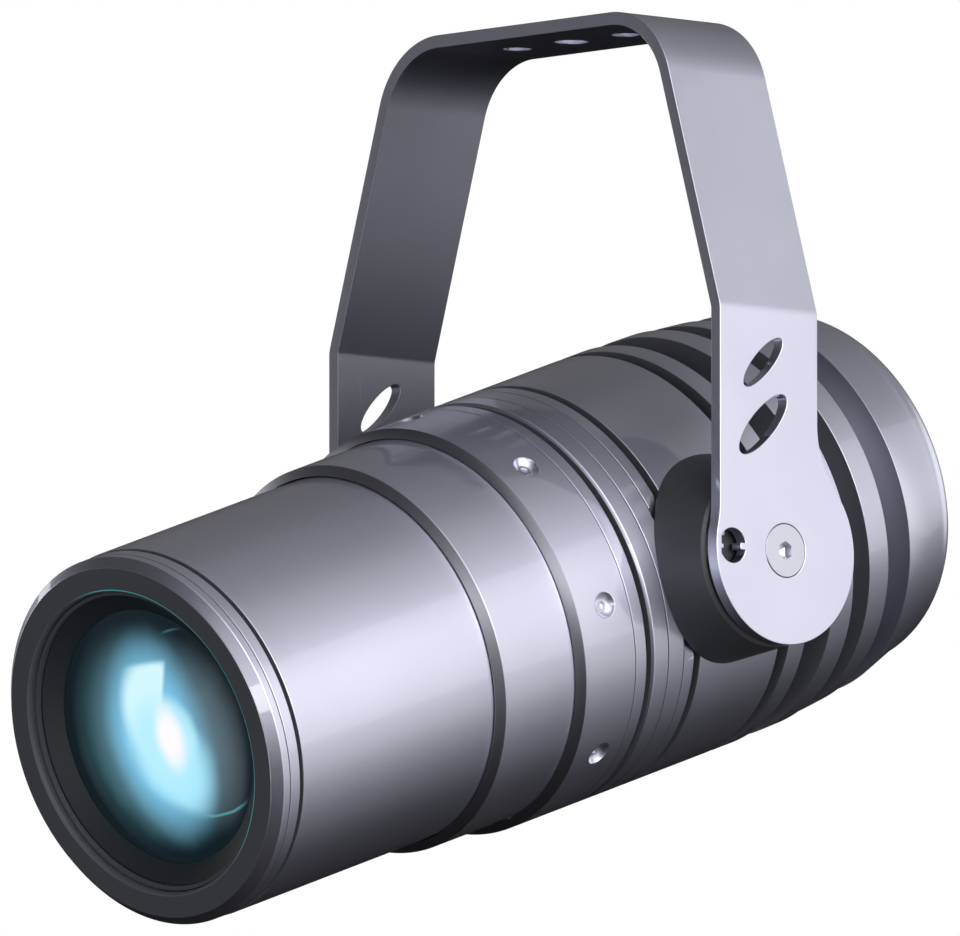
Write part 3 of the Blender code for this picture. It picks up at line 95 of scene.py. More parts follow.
# Front opening and lens
BEVEL_START = 67.2      # where the bezel's face turns into its bevel
BEZEL_BORE = 57.8
BORE_CHAMFER = 1.0
INNER_RING = 57.5       # outer radius of the trim ring and the retaining ring
TRIM_FRONT = FACE + 2.7
TRIM_REAR = FACE + 4.7
TRIM_BORE = 56.0
RETAINER_FRONT = FACE + 5.0
RETAINER_REAR = FACE + 10.6
RETAINER_MOUTH = 55.6
THROAT = 48.7
THROAT_FRONT = FACE + 9.2
THROAT_REAR = FACE + 9.6
LENS_RADIUS = 53.0
LENS_CURVE = 190.0
LENS_AT_THROAT = FACE + 9.9
LENS_DEPTH = 10.5
LENS_STEPS = 24

# Bezel collar, which carries the lens
SPIGOT = 66.2
SPIGOT_REAR = -212.05
SPIGOT_BORE = 49.0
LENS_SHELF = -226.0
LENS_POCKET = 53.3
POCKET_MOUTH = -230.0

# Sleeves
INNER_FRONT = -125.7
INNER_SLOPE_END = -123.1
INNER_BORE = 71.5
OUTER_FRONT = -86.3
OUTER_SLOPE_END = -83.75
OUTER_BORE = 75.3
SLOPES_END = -80.0      # both sleeves' sloping front edges lie ahead of this

# Dimples of the outer sleeve
DIMPLE_STATION = -69.1
DIMPLE_COUNT = 8
DIMPLE_RADIUS = 5.0
DIMPLE_SPHERE = 5.8
DIMPLE_LIP = 0.03       # tiny step at the dimple's edge
DIMPLE_SCREW = 2.9
SCREW_SUNK = 2.15       # from the sleeve's surface down to a screw's top
PATCH = 8.0             # half the square that holds a dimple
PATCH_STEPS = 12
FLANK_STEPS = 6

# Heat sink: front, rear, radius at the front and radius at the rear of each fin
SINK_FRONT = 14.0
SINK_REAR = 104.0
SINK_SPIGOT = 72.2
SINK_CORE = 60.0
FINS = ((28.0, 37.0, BODY, BODY), (51.1, 62.1, 78.2, 78.0), (72.5, 83.8, 76.8, 75.8))
FIN_TOP = 75.3          # only the tops of the fins lie past this radius

# Rear cap
CAP_FRONT = 97.3
CAP_STEP = 100.3
CAP_SHOULDER = 118.3
CAP_REAR = 129.8
CAP_WALL = 3.0
CAP_MOUTH = 74.3
CAP_WAIST = 68.8
CAP_FLAT = 61.1
CAP_SEAT = 60.3
CAP_SCREWS = 3
CAP_SCREW_CIRCLE = 48.0
CAP_SCREW_HOLE = 2.2
CONE_MOUTH = 5.4        # radius of the countersinking tool where it starts
CONE_DEPTH = 2.2
GLAND_DROP = 28.0
GLAND_HOLE = 10.1
TOOL_OVERRUN = 1.0      # how far a cutting tool starts outside the cap

# Gland nut: station, radius, and whether the spanner flats cut that radius
NUT_ACROSS = 24.0
NUT_BORE = 6.1
NUT_LAYERS = (
    (135.1, 12.6, True), (136.0, 13.9, True), (140.5, 13.9, True), (141.2, 12.6, True),
    (146.0, 10.4, False), (147.8, 8.6, False), (148.1, 7.2, False), (147.8, NUT_BORE, False),
    (135.1, NUT_BORE, False))

# Pivot side
BOSS_START = 60.0
BOSS_END = 100.4
BOSS_TIP = 35.4
BOSS_TAPER = 0.126
BOSS_CHAMFER = 1.2
BOSS_GAP = 0.2          # between a boss and the round housing
BOLT_BORE = 5.3
BOLT_DEPTH = 82.0
SADDLE_HALF = 60.0
POCKET = 41.1           # radius of the recess round a boss in the relief ring
POCKET_FLOOR = 72.2
POCKET_TOP = 82.0
DISC_BACK = BOSS_END + 0.3
DISC_FACE = 101.9
DISC_RADIUS = 32.5
HUB_RADIUS = 14.0
HUB_HEIGHT = 0.5
MARK_CIRCLE = 27.9
MARK_COUNT = 17
MARK_SIZE = (2.6, 1.5, 0.4)
MARK_EDGE = 0.1
SCREW_HEAD = 10.0

# Yoke
SPAN = 107.7
STRAP = 5.0
STRAP_WIDTH = 50.0
STRAP_FORWARD = 8.5
DROP = 205.0
LEG_BEND_HEIGHT = 90.0
LEG_LEAN = 17.1
LEG_BEND = 10.0
TOP_BEND = 33.6
END_RADIUS = 35.3
NECK_RADIUS = 36.3
YOKE_EDGE = 0.35

# Holes of the yoke: height, length and width of each slot; offset and radius of each mounting hole
SLOTS = ((69.8, 26.4, 8.4), (46.5, 32.0, 11.0))
SLOT_OFFSET = -11.4
SLOT_TURN = 44.0
WINDOW_OFFSET = -26.9
WINDOW_RADIUS = 6.5
WINDOW_FLAT = 5.65
POINTER_HALF = 1.25
POINTER_LENGTH = 2.6
MOUNTS = ((-30.0, 5.5), (0.0, 6.5), (30.0, 5.5))

# Lobes of light in the lens, in the order in which they are laid: middle across and up, half width,
# half height, softness, strength, colour, and the lines that trim it (across, up, distance, softness)
LENS_DARK = (0.002, 0.005, 0.007)
LOBES = (
    (0.0, 0.0, 37.5, 39.0, 0.26, 1.0, (0.024, 0.066, 0.085), ()),
    (4.0, 0.0, 28.5, 32.0, 0.42, 1.0, (0.110, 0.250, 0.310), ()),
    (31.0, -4.0, 13.0, 26.0, 0.70, 0.45, (0.150, 0.180, 0.220), ()),
    (5.0, 0.0, 21.0, 31.0, 0.42, 1.0, (0.200, 0.560, 0.820), ()),
    (11.0, -11.0, 15.0, 18.0, 0.42, 1.0, (0.420, 0.820, 0.990), ((0.45, 0.89, -21.0, 4.0),)),
    (8.0, 11.0, 16.5, 20.0, 0.24, 1.0, (0.660, 0.930, 1.000),
     ((0.0, -1.0, -28.5, 1.5), (-0.95, 0.30, -7.5, 1.2))),
    (6.0, -2.0, 14.0, 16.0, 0.50, 1.0, (0.480, 0.860, 1.000), ()),
    (14.5, 2.0, 10.5, 12.5, 0.25, 0.7, (0.520, 0.880, 1.000), ((1.0, 0.0, 11.0, 3.0),)),
    (12.0, 0.0, 6.0, 10.5, 0.60, 1.0, (1.000, 0.960, 1.000), ()))

# Thin arcs mirrored in the lens: middle across and up, outer and inner radius, then as above
ARCS = (
    (24.0, -1.0, 31.0, 30.0, 0.012, 0.6, (0.120, 0.420, 0.480),
     ((0.0, -1.0, 24.0, 4.0), (1.0, 0.0, 14.0, 4.0))),
    (26.0, 0.0, 40.5, 39.7, 0.010, 0.5, (0.080, 0.260, 0.280),
     ((0.0, 1.0, 34.0, 3.0), (1.0, 0.0, 18.0, 3.0))))
LENS_RIM = 46.5
RIM_DARK = (0.004, 0.010, 0.013)

# Soft boxes: direction from the pivot, distance, width, height, power
SOFT_BOXES = (
    ("key_box", (0.64, 0.72, 0.22), 3.0, 3.4, 2.2, 7.6),
    ("front_strip", (0.52, -0.84, -0.155), 5.0, 2.9, 1.0, 18.0),
    ("face_box", (0.0, -0.85, -0.52), 3.0, 1.2, 1.2, 8.0),
    ("left_box", (-0.95, -0.10, 0.10), 3.5, 1.8, 1.8, 14.0))

# Broad soft lights on the studio walls: direction from the pivot, half width in degrees, strength
WALL_LIGHTS = (
    (0.22, 0.00, 0.97, 42, 0.13), (0.58, -0.37, 0.72, 42, 0.42), (0.77, 0.28, 0.57, 42, 0.28),
    (0.27, 0.86, 0.43, 42, 0.11), (0.92, -0.20, 0.32, 42, 1.90), (0.71, -0.70, 0.07, 42, 0.42),
    (0.99, 0.13, -0.07, 42, 0.65), (0.48, 0.85, -0.23, 42, 0.07), (0.78, 0.41, -0.48, 42, 0.42),
    (0.64, 0.77, -0.05, 22, 0.30), (0.95, 0.22, 0.21, 22, 2.30), (0.05, 0.98, 0.21, 22, 1.20),
    (-0.45, 0.50, 0.74, 52, 0.10), (-0.64, -0.76, -0.02, 42, 0.09))
WALL_RADIUS = 6.0
FLOOR_RADIUS = 1.5
FLOOR_HEIGHT = -1.4
WHITE = (1.0, 1.0, 1.0)

# Camera, in its own directions from the pivot
CAMERA_BACK = Vector((0.72867, -0.67594, -0.11026))
CAMERA_RIGHT = Vector((0.68009, 0.73314, 0.0))
CAMERA_UP = Vector((0.08083, -0.07498, 0.99390))
CAMERA_DISTANCE = 12.397
CAMERA_LEFTWARD = 0.04077
CAMERA_RAISED = 0.03951
CAMERA_LENS = 1238.6
CAMERA_FILM = 36.0

# Outputs of Blender's nodes that are told apart by number
OBJECT_SPOT = 3
BACKFACING = 6


class Wire:
    """A socket of a finish that takes arithmetic."""

    def __init__(self, finish, socket):
        self.finish = finish
        self.socket = socket

    def math(self, operation, *values):
        return self.finish.node("ShaderNodeMath", {"operation": operation}, dict(enumerate(values)))

    def __add__(self, other):
        return self.math("ADD", self, other)

    __radd__ = __add__

    def __sub__(self, other):
        return self.math("SUBTRACT", self, other)

    def __rsub__(self, other):
        return self.math("SUBTRACT", other, self)

    def __mul__(self, other):
        return self.math("MULTIPLY", self, other)

    __rmul__ = __mul__

    def __truediv__(self, other):
        return self.math("DIVIDE", self, other)

    def __pow__(self, other):
        return self.math("POWER", self, other)


class Finish:
    """A material under construction."""

    def __init__(self, name):
        self.made = bpy.data.materials.new(name)
        self.made.use_nodes = True
        self.tree = self.made.node_tree
        self.tree.nodes.clear()

    def node(self, kind, settings=None, inputs=None, output=0):
        made = self.tree.nodes.new(kind)
        for name, value in (settings or {}).items():
            setattr(made, name, value)
        for name, value in (inputs or {}).items():
            socket = made.inputs[name]
            if isinstance(value, Wire):
                self.tree.links.new(value.socket, socket)
            elif isinstance(value, tuple) and socket.type == "RGBA":
                socket.default_value = (*value, 1.0)
            else:
                socket.default_value = value
        return Wire(self, made.outputs[output])

    def smooth(self, value, low, high, start=0.0, end=1.0):
        """Runs from start to end, with soft shoulders, as value goes from low to high."""
        return self.node("ShaderNodeMapRange", {"interpolation_type": "SMOOTHSTEP"},
                         {"Value": value, "From Min": low, "From Max": high,
                          "To Min": start, "To Max": end})

    def blend(self, factor, one, two):
        return self.node("ShaderNodeMix", {"data_type": "RGBA"}, {0: factor, 6: one, 7: two}, 2)

    def spot(self):
        """Object coordinates."""
        return self.node("ShaderNodeTexCoord", output=OBJECT_SPOT)

    def place(self):
        """Object coordinates seen from the lamp's own axes: across, station, up."""
        return self.node("ShaderNodeMapping", {"vector_type": "TEXTURE"},
                         {0: self.spot(), 1: tuple(PIVOT), 2: (math.radians(REST_TILT), 0.0, 0.0)})

    def parts(self, vector):
        """The three numbers of a vector."""
        split = self.node("ShaderNodeSeparateXYZ", None, {0: vector}).socket.node
        return [Wire(self, socket) for socket in split.outputs]

    def noise(self, vector, scale, detail=3.0, roughness=0.5):
        return self.node("ShaderNodeTexNoise", None,
                         {"Vector": vector, "Scale": scale, "Detail": detail, "Roughness": roughness})

    def length(self, vector):
        return self.node("ShaderNodeVectorMath", {"operation": "LENGTH"}, {0: vector}, 1)

    def tinted(self, colour, mottle, darkest, lightest):
        """The colour, made a little darker and lighter by a noise."""
        tone = self.smooth(mottle, 0.3, 0.7, darkest, lightest)
        return self.node("ShaderNodeVectorMath", {"operation": "SCALE"}, {0: colour, 3: tone})

    def bump(self, height, distance, strength):
        return self.node("ShaderNodeBump", None,
                         {"Height": height, "Distance": distance, "Strength": strength})

    def close(self, shader):
        """Sends a shader to the material's output."""
        out = self.tree.nodes.new("ShaderNodeOutputMaterial")
        self.tree.links.new(shader.socket, out.inputs[0])
        return self.made

    def finish(self, **sockets):
        """Closes the material with a Principled shader whose sockets are named in small letters."""
        inputs = {}
        for name, value in sockets.items():
            inputs[name.replace("_", " ").title().replace("Ior", "IOR")] = value
        return self.close(self.node("ShaderNodeBsdfPrincipled", None, inputs))


def lathe_marks(finish):
    """Fine rings that a turning tool leaves, along the station and across the faces."""
    across, station, up = finish.parts(finish.place())
    radius = finish.length(finish.node("ShaderNodeCombineXYZ", None, {0: across, 1: up}))
    line = finish.node("ShaderNodeCombineXYZ", None, {0: station, 1: radius})
    return finish.noise(line, 1400.0, 2.0, 0.7)


def turned_metal(name, colour, roughness, coat=1.0):
    """Anodised metal with faint tool rings."""
    f = Finish(name)
    rings = lathe_marks(f)
    cloud = f.noise(f.place(), 14.0)
    rough = f.smooth(rings, 0.25, 0.75, roughness - 0.02, roughness + 0.02)
    return f.finish(base_color=f.tinted(colour, cloud, 0.97, 1.02), roughness=rough, metallic=1.0,
                    coat_weight=coat, coat_roughness=0.04, coat_ior=2.2,
                    normal=f.bump(rings, 0.00001, 0.25))


def painted_metal(name, colour, roughness, metallic, coat):
    """Sprayed finish with a fine even grain."""
    f = Finish(name)
    grains = f.noise(f.spot(), 900.0, 2.0, 0.6)
    cloud = f.noise(f.spot(), 18.0)
    rough = f.smooth(grains, 0.3, 0.7, roughness - 0.03, roughness + 0.03)
    return f.finish(base_color=f.tinted(colour, cloud, 0.97, 1.03), roughness=rough,
                    metallic=metallic, coat_weight=coat, coat_roughness=0.04, coat_ior=2.2,
                    normal=f.bump(grains, 0.00002, 0.3))


def moulded(name, colour, roughness):
    """Plastic or rubber with a pebbled skin."""
    f = Finish(name)
    pebble = f.noise(f.spot(), 1500.0, 2.0, 0.6)
    rough = f.smooth(pebble, 0.3, 0.7, roughness - 0.05, roughness + 0.05)
    return f.finish(base_color=f.tinted(colour, pebble, 0.9, 1.1), roughness=rough, metallic=0.0,
                    normal=f.bump(pebble, 0.00003, 0.4))


def lit_lens():
    """The front lens with the lamp on: a white core off the axis, cyan lobes, a dark teal rim."""
    f = Finish("lit_front_lens")
    across, _, up = f.parts(f.place())
    ripple = f.smooth(f.noise(f.place(), 60.0, 2.0), 0.3, 0.7, -0.5, 0.5)
    across = across * 1000.0
    up = up * 1000.0

    def oval(middle_x, middle_y, half_width, half_height, soft):
        dx = (across + ripple - middle_x) / half_width
        dy = (up + ripple - middle_y) / half_height
        reach = (dx * dx + dy * dy) ** 0.5
        return f.smooth(reach, 1.0 - soft, 1.0 + soft, 1.0, 0.0)

    def trimmed(mask, lines):
        for toward_x, toward_y, distance, soft in lines:
            reach = across * toward_x + up * toward_y
            mask = mask * f.smooth(reach, distance - soft, distance + soft)
        return mask

    glow = LENS_DARK
    for middle_x, middle_y, half_width, half_height, soft, strength, colour, lines in LOBES:
        mask = trimmed(oval(middle_x, middle_y, half_width, half_height, soft), lines)
        glow = f.blend(mask * strength, glow, colour)
    for middle_x, middle_y, outer, inner, soft, strength, colour, lines in ARCS:
        arc = oval(middle_x, middle_y, outer, outer, soft) - oval(middle_x, middle_y, inner, inner, soft)
        glow = f.blend(trimmed(arc, lines) * strength, glow, colour)
    glow = f.blend(1.0 - oval(0.0, 0.0, LENS_RIM, LENS_RIM, 0.05), glow, RIM_DARK)
    return f.finish(base_color=(0.010, 0.020, 0.024), roughness=0.12, metallic=0.0,
                    emission_color=glow, emission_strength=1.0)


def painted_lip_glow():
    """The lip of the bezel's bore, with painted light: an emission glow on one side stands for the
    lamp's light falling there.
    """
    f = Finish("bezel_lip_painted_light")
    across, _, up = f.parts(f.place())
    # painted light: a cyan glow on one side of the lip
    side = f.smooth(across + up * 0.5, 0.005, 0.035)
    glow = f.blend(side, (0.002, 0.004, 0.005), (0.030, 0.230, 0.260))
    return f.finish(base_color=(0.115, 0.125, 0.143), roughness=0.5, metallic=0.1,
                    emission_color=glow, emission_strength=1.0)


def softened(outline, closed=True, edge=EDGE):
    """Rounds every corner of a profile and keeps the flats true with a point beside each corner."""
    points = []
    count = len(outline)
    for i, (station, radius) in enumerate(outline):
        corner = Vector((station, radius))
        if not closed and i in (0, count - 1):
            points.append(corner)
            continue
        before = Vector(outline[i - 1])
        after = Vector(outline[(i + 1) % count])
        into = before - corner
        out = after - corner
        reach = min(edge, 0.3 * into.length, 0.3 * out.length)
        into.normalize()
        out.normalize()
        if into.dot(out) < -0.995:
            points.append(corner)
            continue
        start = corner + into * reach
        end = corner + out * reach
        points.append(corner + into * reach * 1.5)
        for t in (0.0, 0.25, 0.5, 0.75, 1.0):
            points.append(start * (1 - t) ** 2 + corner * 2 * t * (1 - t) + end * t * t)
        points.append(corner + out * reach * 1.5)
    return [(p.x, p.y) for p in points]


def revolve(profile, closed=True, facets=ROUND):
    """A turned shape about the lamp axis from (station, radius) points."""
    bm = bmesh.new()
    rings = []
    for station, radius in profile:
        if radius < 1e-6:
            rings.append([bm.verts.new((0.0, station * MM, 0.0))])
            continue
        ring = []
        for k in range(facets):
            turn = math.tau * k / facets
            ring.append(bm.verts.new((radius * MM * math.cos(turn), station * MM,
                                      radius * MM * math.sin(turn))))
        rings.append(ring)
    pairs = list(zip(rings, rings[1:]))
    if closed:
        pairs.append((rings[-1], rings[0]))
    for one, two in pairs:
        if len(one) == 1 and len(two) == 1:
            continue
        for k in range(facets):
            m = (k + 1) % facets
            if len(one) == 1:
                bm.faces.new((one[0], two[k], two[m]))
            elif len(two) == 1:
                bm.faces.new((one[k], two[0], one[m]))
            else:
                bm.faces.new((one[k], two[k], two[m], one[m]))
    bmesh.ops.recalc_face_normals(bm, faces=bm.faces)
    return bm


def rod(front, rear, radius, facets=SMALL_ROUND):
    """A plain cylinder about the lamp axis."""
    return revolve([(front, 0.0), (front, radius), (rear, radius), (rear, 0.0)], False, facets)


def piece(name, bm, place, body, finishes, nodes, pick=None):
    """Finishes a mesh as a piece: its place in the mesh, its body, and what it stands for."""
    bm.transform(place)
    mesh = bpy.data.meshes.new(name)
    if not isinstance(finishes, list):
        finishes = [finishes]
    for finish in finishes:
        mesh.materials.append(finish)
    bm.to_mesh(mesh)
    bm.free()
    dress(name, mesh, place, body, nodes, pick)


def dress(name, mesh, place, body, nodes, pick=None):
    """Shades a mesh, picks a finish for each face, hangs it on its body and hides the parts it stands
    for.
    """
    mesh.shade_smooth()
    mesh.set_sharp_from_angle(angle=math.radians(32.0))
    if pick:
        back = place.inverted()
        turn = back.to_3x3()
        for face in mesh.polygons:
            face.material_index = pick(back @ face.center / MM, turn @ face.normal)
    made = bpy.data.objects.new(name, mesh)
    bpy.context.scene.collection.objects.link(made)
    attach(made, body)
    if nodes:
        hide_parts(*nodes)


def ring_piece(name, outline, body, finishes, nodes, closed=True, edge=EDGE, pick=None):
    """A ring turned from an outline, with its corners rounded."""
    bm = revolve(softened(outline, closed, edge), closed)
    piece(name, bm, TO_LAMP, body, finishes, nodes, pick)


def scratch(name, bm):
    """A plain object from a mesh, to be worked on."""
    mesh = bpy.data.meshes.new(name)
    bm.to_mesh(mesh)
    bm.free()
    made = bpy.data.objects.new(name, mesh)
    bpy.context.scene.collection.objects.link(made)
    return made


def baked(made, name):
    """The evaluated mesh of an object, which is then removed."""
    graph = bpy.context.evaluated_depsgraph_get()
    mesh = bpy.data.meshes.new_from_object(made.evaluated_get(graph))
    mesh.name = name
    bpy.data.objects.remove(made, do_unlink=True)
    return mesh


def as_bmesh(mesh):
    bm = bmesh.new()
    bm.from_mesh(mesh)
    bpy.data.meshes.remove(mesh)
    return bm


def cut(base, tools, name):
    """Takes the tools out of the base."""
    work = scratch(name, base)
    cutters = []
    for i, tool in enumerate(tools):
        cutter = scratch(f"{name}_cutter_{i}", tool)
        step = work.modifiers.new(cutter.name, "BOOLEAN")
        step.operation = "DIFFERENCE"
        step.solver = "EXACT"
        step.object = cutter
        cutters.append(cutter)
    mesh = baked(work, name)
    for cutter in cutters:
        bpy.data.objects.remove(cutter, do_unlink=True)
    return as_bmesh(mesh)


def sideways(bm, side):
    """Lays a turned shape along the pivot axis."""
    bmesh.ops.rotate(bm, verts=bm.verts, matrix=Matrix.Rotation(-side * QUARTER, 3, "Z"))
    return bm


def moved(bm, x, y, z):
    bmesh.ops.translate(bm, verts=bm.verts, vec=Vector((x, y, z)) * MM)
    return bm


def hexagon_reach(across, turn):
    """From a hexagon's middle to its outline; the first corner is at turn 0."""
    sector = (turn % (math.pi / 3.0)) - math.pi / 6.0
    return across / 2.0 / math.cos(sector)


def socket_screw(head, rim, key, depth, shank, length):
    """A screw along +Z with its top at 0: chamfered head, hexagon socket, straight shank."""
    bm = bmesh.new()
    count = SMALL_ROUND
    chamfer = 0.15

    def loop(radius_of, height):
        made = []
        for k in range(count):
            turn = math.tau * k / count
            radius = radius_of(turn) * MM
            made.append(bm.verts.new((radius * math.cos(turn), radius * math.sin(turn), height * MM)))
        return made

    loops = [loop(lambda turn: shank, -length),
             loop(lambda turn: shank, -(head - shank) - rim),
             loop(lambda turn: head, -rim),
             loop(lambda turn: head - rim, 0.0),
             loop(lambda turn: hexagon_reach(key, turn) + chamfer, 0.0),
             loop(lambda turn: hexagon_reach(key, turn), -chamfer),
             loop(lambda turn: hexagon_reach(key, turn), -depth)]
    for one, two in zip(loops, loops[1:]):
        for k in range(count):
            m = (k + 1) % count
            bm.faces.new((one[k], one[m], two[m], two[k]))
    bm.faces.new(loops[0])
    tip = bm.verts.new((0.0, 0.0, -(depth + 0.25 * key) * MM))
    for k in range(count):
        bm.faces.new((loops[-1][k], loops[-1][(k + 1) % count], tip))
    bmesh.ops.recalc_face_normals(bm, faces=bm.faces)
    return bm


def ring_tree():
    """Geometry nodes: one item set round a circle in the XY plane, turned with its place."""
    tree = bpy.data.node_groups.new("items_round_a_circle", "GeometryNodeTree")
    face = tree.interface
    sockets = {}
    for name, kind in (("Item", "Object"), ("Count", "Int"), ("Circle", "Float"), ("Height", "Float"),
                       ("First Angle", "Float"), ("Pitch", "Float"), ("Finish", "Material")):
        made = face.new_socket(name, in_out="INPUT", socket_type=f"NodeSocket{kind}")
        sockets[name] = made.identifier
    face.new_socket("Geometry", in_out="OUTPUT", socket_type="NodeSocketGeometry")

    def node(kind, **settings):
        made = tree.nodes.new(kind)
        for name, value in settings.items():
            setattr(made, name, value)
        return made

    given = node("NodeGroupInput")
    points = node("GeometryNodePoints")
    index = node("GeometryNodeInputIndex")
    angle = node("ShaderNodeMath", operation="MULTIPLY_ADD")
    cosine = node("ShaderNodeMath", operation="COSINE")
    sine = node("ShaderNodeMath", operation="SINE")
    spot = node("ShaderNodeCombineXYZ")
    reach = node("ShaderNodeVectorMath", operation="SCALE")
    lift = node("ShaderNodeCombineXYZ")
    whole = node("ShaderNodeVectorMath", operation="ADD")
    turn = node("ShaderNodeCombineXYZ")
    item = node("GeometryNodeObjectInfo")
    put = node("GeometryNodeInstanceOnPoints")
    real = node("GeometryNodeRealizeInstances")
    paint = node("GeometryNodeSetMaterial")
    out = node("NodeGroupOutput")
    for source, sent, target, taken in (
            (given, "Count", points, "Count"), (index, 0, angle, 0), (given, "Pitch", angle, 1),
            (given, "First Angle", angle, 2), (angle, 0, cosine, 0), (angle, 0, sine, 0),
            (cosine, 0, spot, 0), (sine, 0, spot, 1), (spot, 0, reach, 0),
            (given, "Circle", reach, "Scale"), (given, "Height", lift, 2), (reach, 0, whole, 0),
            (lift, 0, whole, 1), (whole, 0, points, "Position"), (angle, 0, turn, 2),
            (given, "Item", item, "Object"), (points, 0, put, "Points"),
            (item, "Geometry", put, "Instance"), (turn, 0, put, "Rotation"), (put, 0, real, 0),
            (real, 0, paint, "Geometry"), (given, "Finish", paint, "Material"), (paint, 0, out, 0)):
        tree.links.new(source.outputs[sent], target.inputs[taken])
    return tree, sockets


RING_TREE, RING_SOCKETS = ring_tree()


def around(name, item, count, circle, height, first, pitch, finish, place, body, nodes):
    """Copies of an item round a circle, as one plain mesh."""
    sample = scratch(f"{name}_item", item)
    holder = scratch(name, bmesh.new())
    step = holder.modifiers.new("round", "NODES")
    step.node_group = RING_TREE
    values = {"Item": sample, "Count": count, "Circle": circle * MM, "Height": height * MM,
              "First Angle": math.radians(first), "Pitch": math.radians(pitch), "Finish": finish}
    for key, value in values.items():
        step[RING_SOCKETS[key]] = value
    mesh = baked(holder, name)
    bpy.data.objects.remove(sample, do_unlink=True)
    mesh.transform(place)
    dress(name, mesh, place, body, nodes)


def radius_at(spot):
    return math.hypot(spot.x, spot.z)


def bezel_part(spot, normal):
    """0 the satin band, 1 the dark face and bore, 2 the lip of the bore with painted light."""
    radius = radius_at(spot)
    lip = BEZEL_BORE + BORE_CHAMFER
    if radius > BEVEL_START - 0.05:
        return 0
    return 2 if lip - 0.35 < radius < lip + 0.15 and spot.y < FACE + 0.4 else 1


def in_groove(spot, normal):
    """Marks a ring's end faces and inside, which take a darker finish: painted shade in the grooves."""
    return int(abs(normal.y) > 0.9 or radius_at(spot) < RUNNING_BORE + 0.1)


def on_shaded_step(spot, normal):
    """Marks a sleeve's sloping front edge, which takes the darker step finish: painted shade."""
    return int(normal.y < -0.3 and radius_at(spot) > BARREL and spot.y < SLOPES_END)


def between_fins(spot, normal):
    """Marks the heat sink's core and the sides of its fins, which take the darker finish: painted shade
    between the fins.
    """
    return int(radius_at(spot) < FIN_TOP or abs(normal.y) > 0.9)


def make_bezel(satin, shade, graphite, lip_painted_light):
    """The bezel and its collar."""
    ring_piece("look_front_bezel", [
        (FACE, BEZEL_BORE + BORE_CHAMFER), (FACE, BEVEL_START), (FACE + BAND - BEVEL_START, BAND),
        (BEZEL_SEAM - HAIRLINE, BAND), (BEZEL_SEAM - HAIRLINE, BEZEL_BORE),
        (FACE + BORE_CHAMFER, BEZEL_BORE)],
        "barrel", [satin, graphite, lip_painted_light], ["front_bezel"], pick=bezel_part)
    ring_piece("look_bezel_collar", [
        (BEZEL_SEAM + HAIRLINE, BAND), (BEZEL_REAR, BAND), (BEZEL_REAR, SPIGOT), (SPIGOT_REAR, SPIGOT),
        (SPIGOT_REAR, SPIGOT_BORE), (LENS_SHELF, SPIGOT_BORE), (LENS_SHELF, LENS_POCKET),
        (POCKET_MOUTH, LENS_POCKET), (POCKET_MOUTH, BEZEL_BORE),
        (BEZEL_SEAM + HAIRLINE, BEZEL_BORE)],
        "barrel", [satin, shade], ["bezel_collar"], pick=in_groove)


def make_lens(graphite, ring_dark, lens):
    """The trim ring, the retaining ring and the lens in the bezel's bore."""
    ring_piece("look_trim_ring", [
        (TRIM_FRONT, INNER_RING), (TRIM_REAR, INNER_RING), (TRIM_REAR, TRIM_BORE),
        (TRIM_FRONT, TRIM_BORE)],
        "barrel", graphite, ["lens_trim_ring"], edge=FINE_EDGE)
    ring_piece("look_retaining_ring", [
        (RETAINER_FRONT, INNER_RING), (RETAINER_REAR, INNER_RING), (RETAINER_REAR, LENS_RADIUS),
        (THROAT_REAR, THROAT), (THROAT_FRONT, THROAT), (RETAINER_FRONT, RETAINER_MOUTH)],
        "barrel", ring_dark, ["lens_retaining_ring"], edge=FINE_EDGE)

    def sag(radius):
        return LENS_CURVE - math.sqrt(LENS_CURVE ** 2 - radius ** 2)

    apex = LENS_AT_THROAT - sag(THROAT)
    rear = apex + LENS_DEPTH
    profile = [(rear, 0.0), (rear, LENS_RADIUS - 0.3), (rear - 0.2, LENS_RADIUS)]
    for i in range(LENS_STEPS + 1):
        radius = LENS_RADIUS * (1.0 - i / LENS_STEPS)
        profile.append((apex + sag(radius), radius))
    piece("look_front_lens", revolve(profile, False), TO_LAMP, "barrel", lens, ["front_lens"])


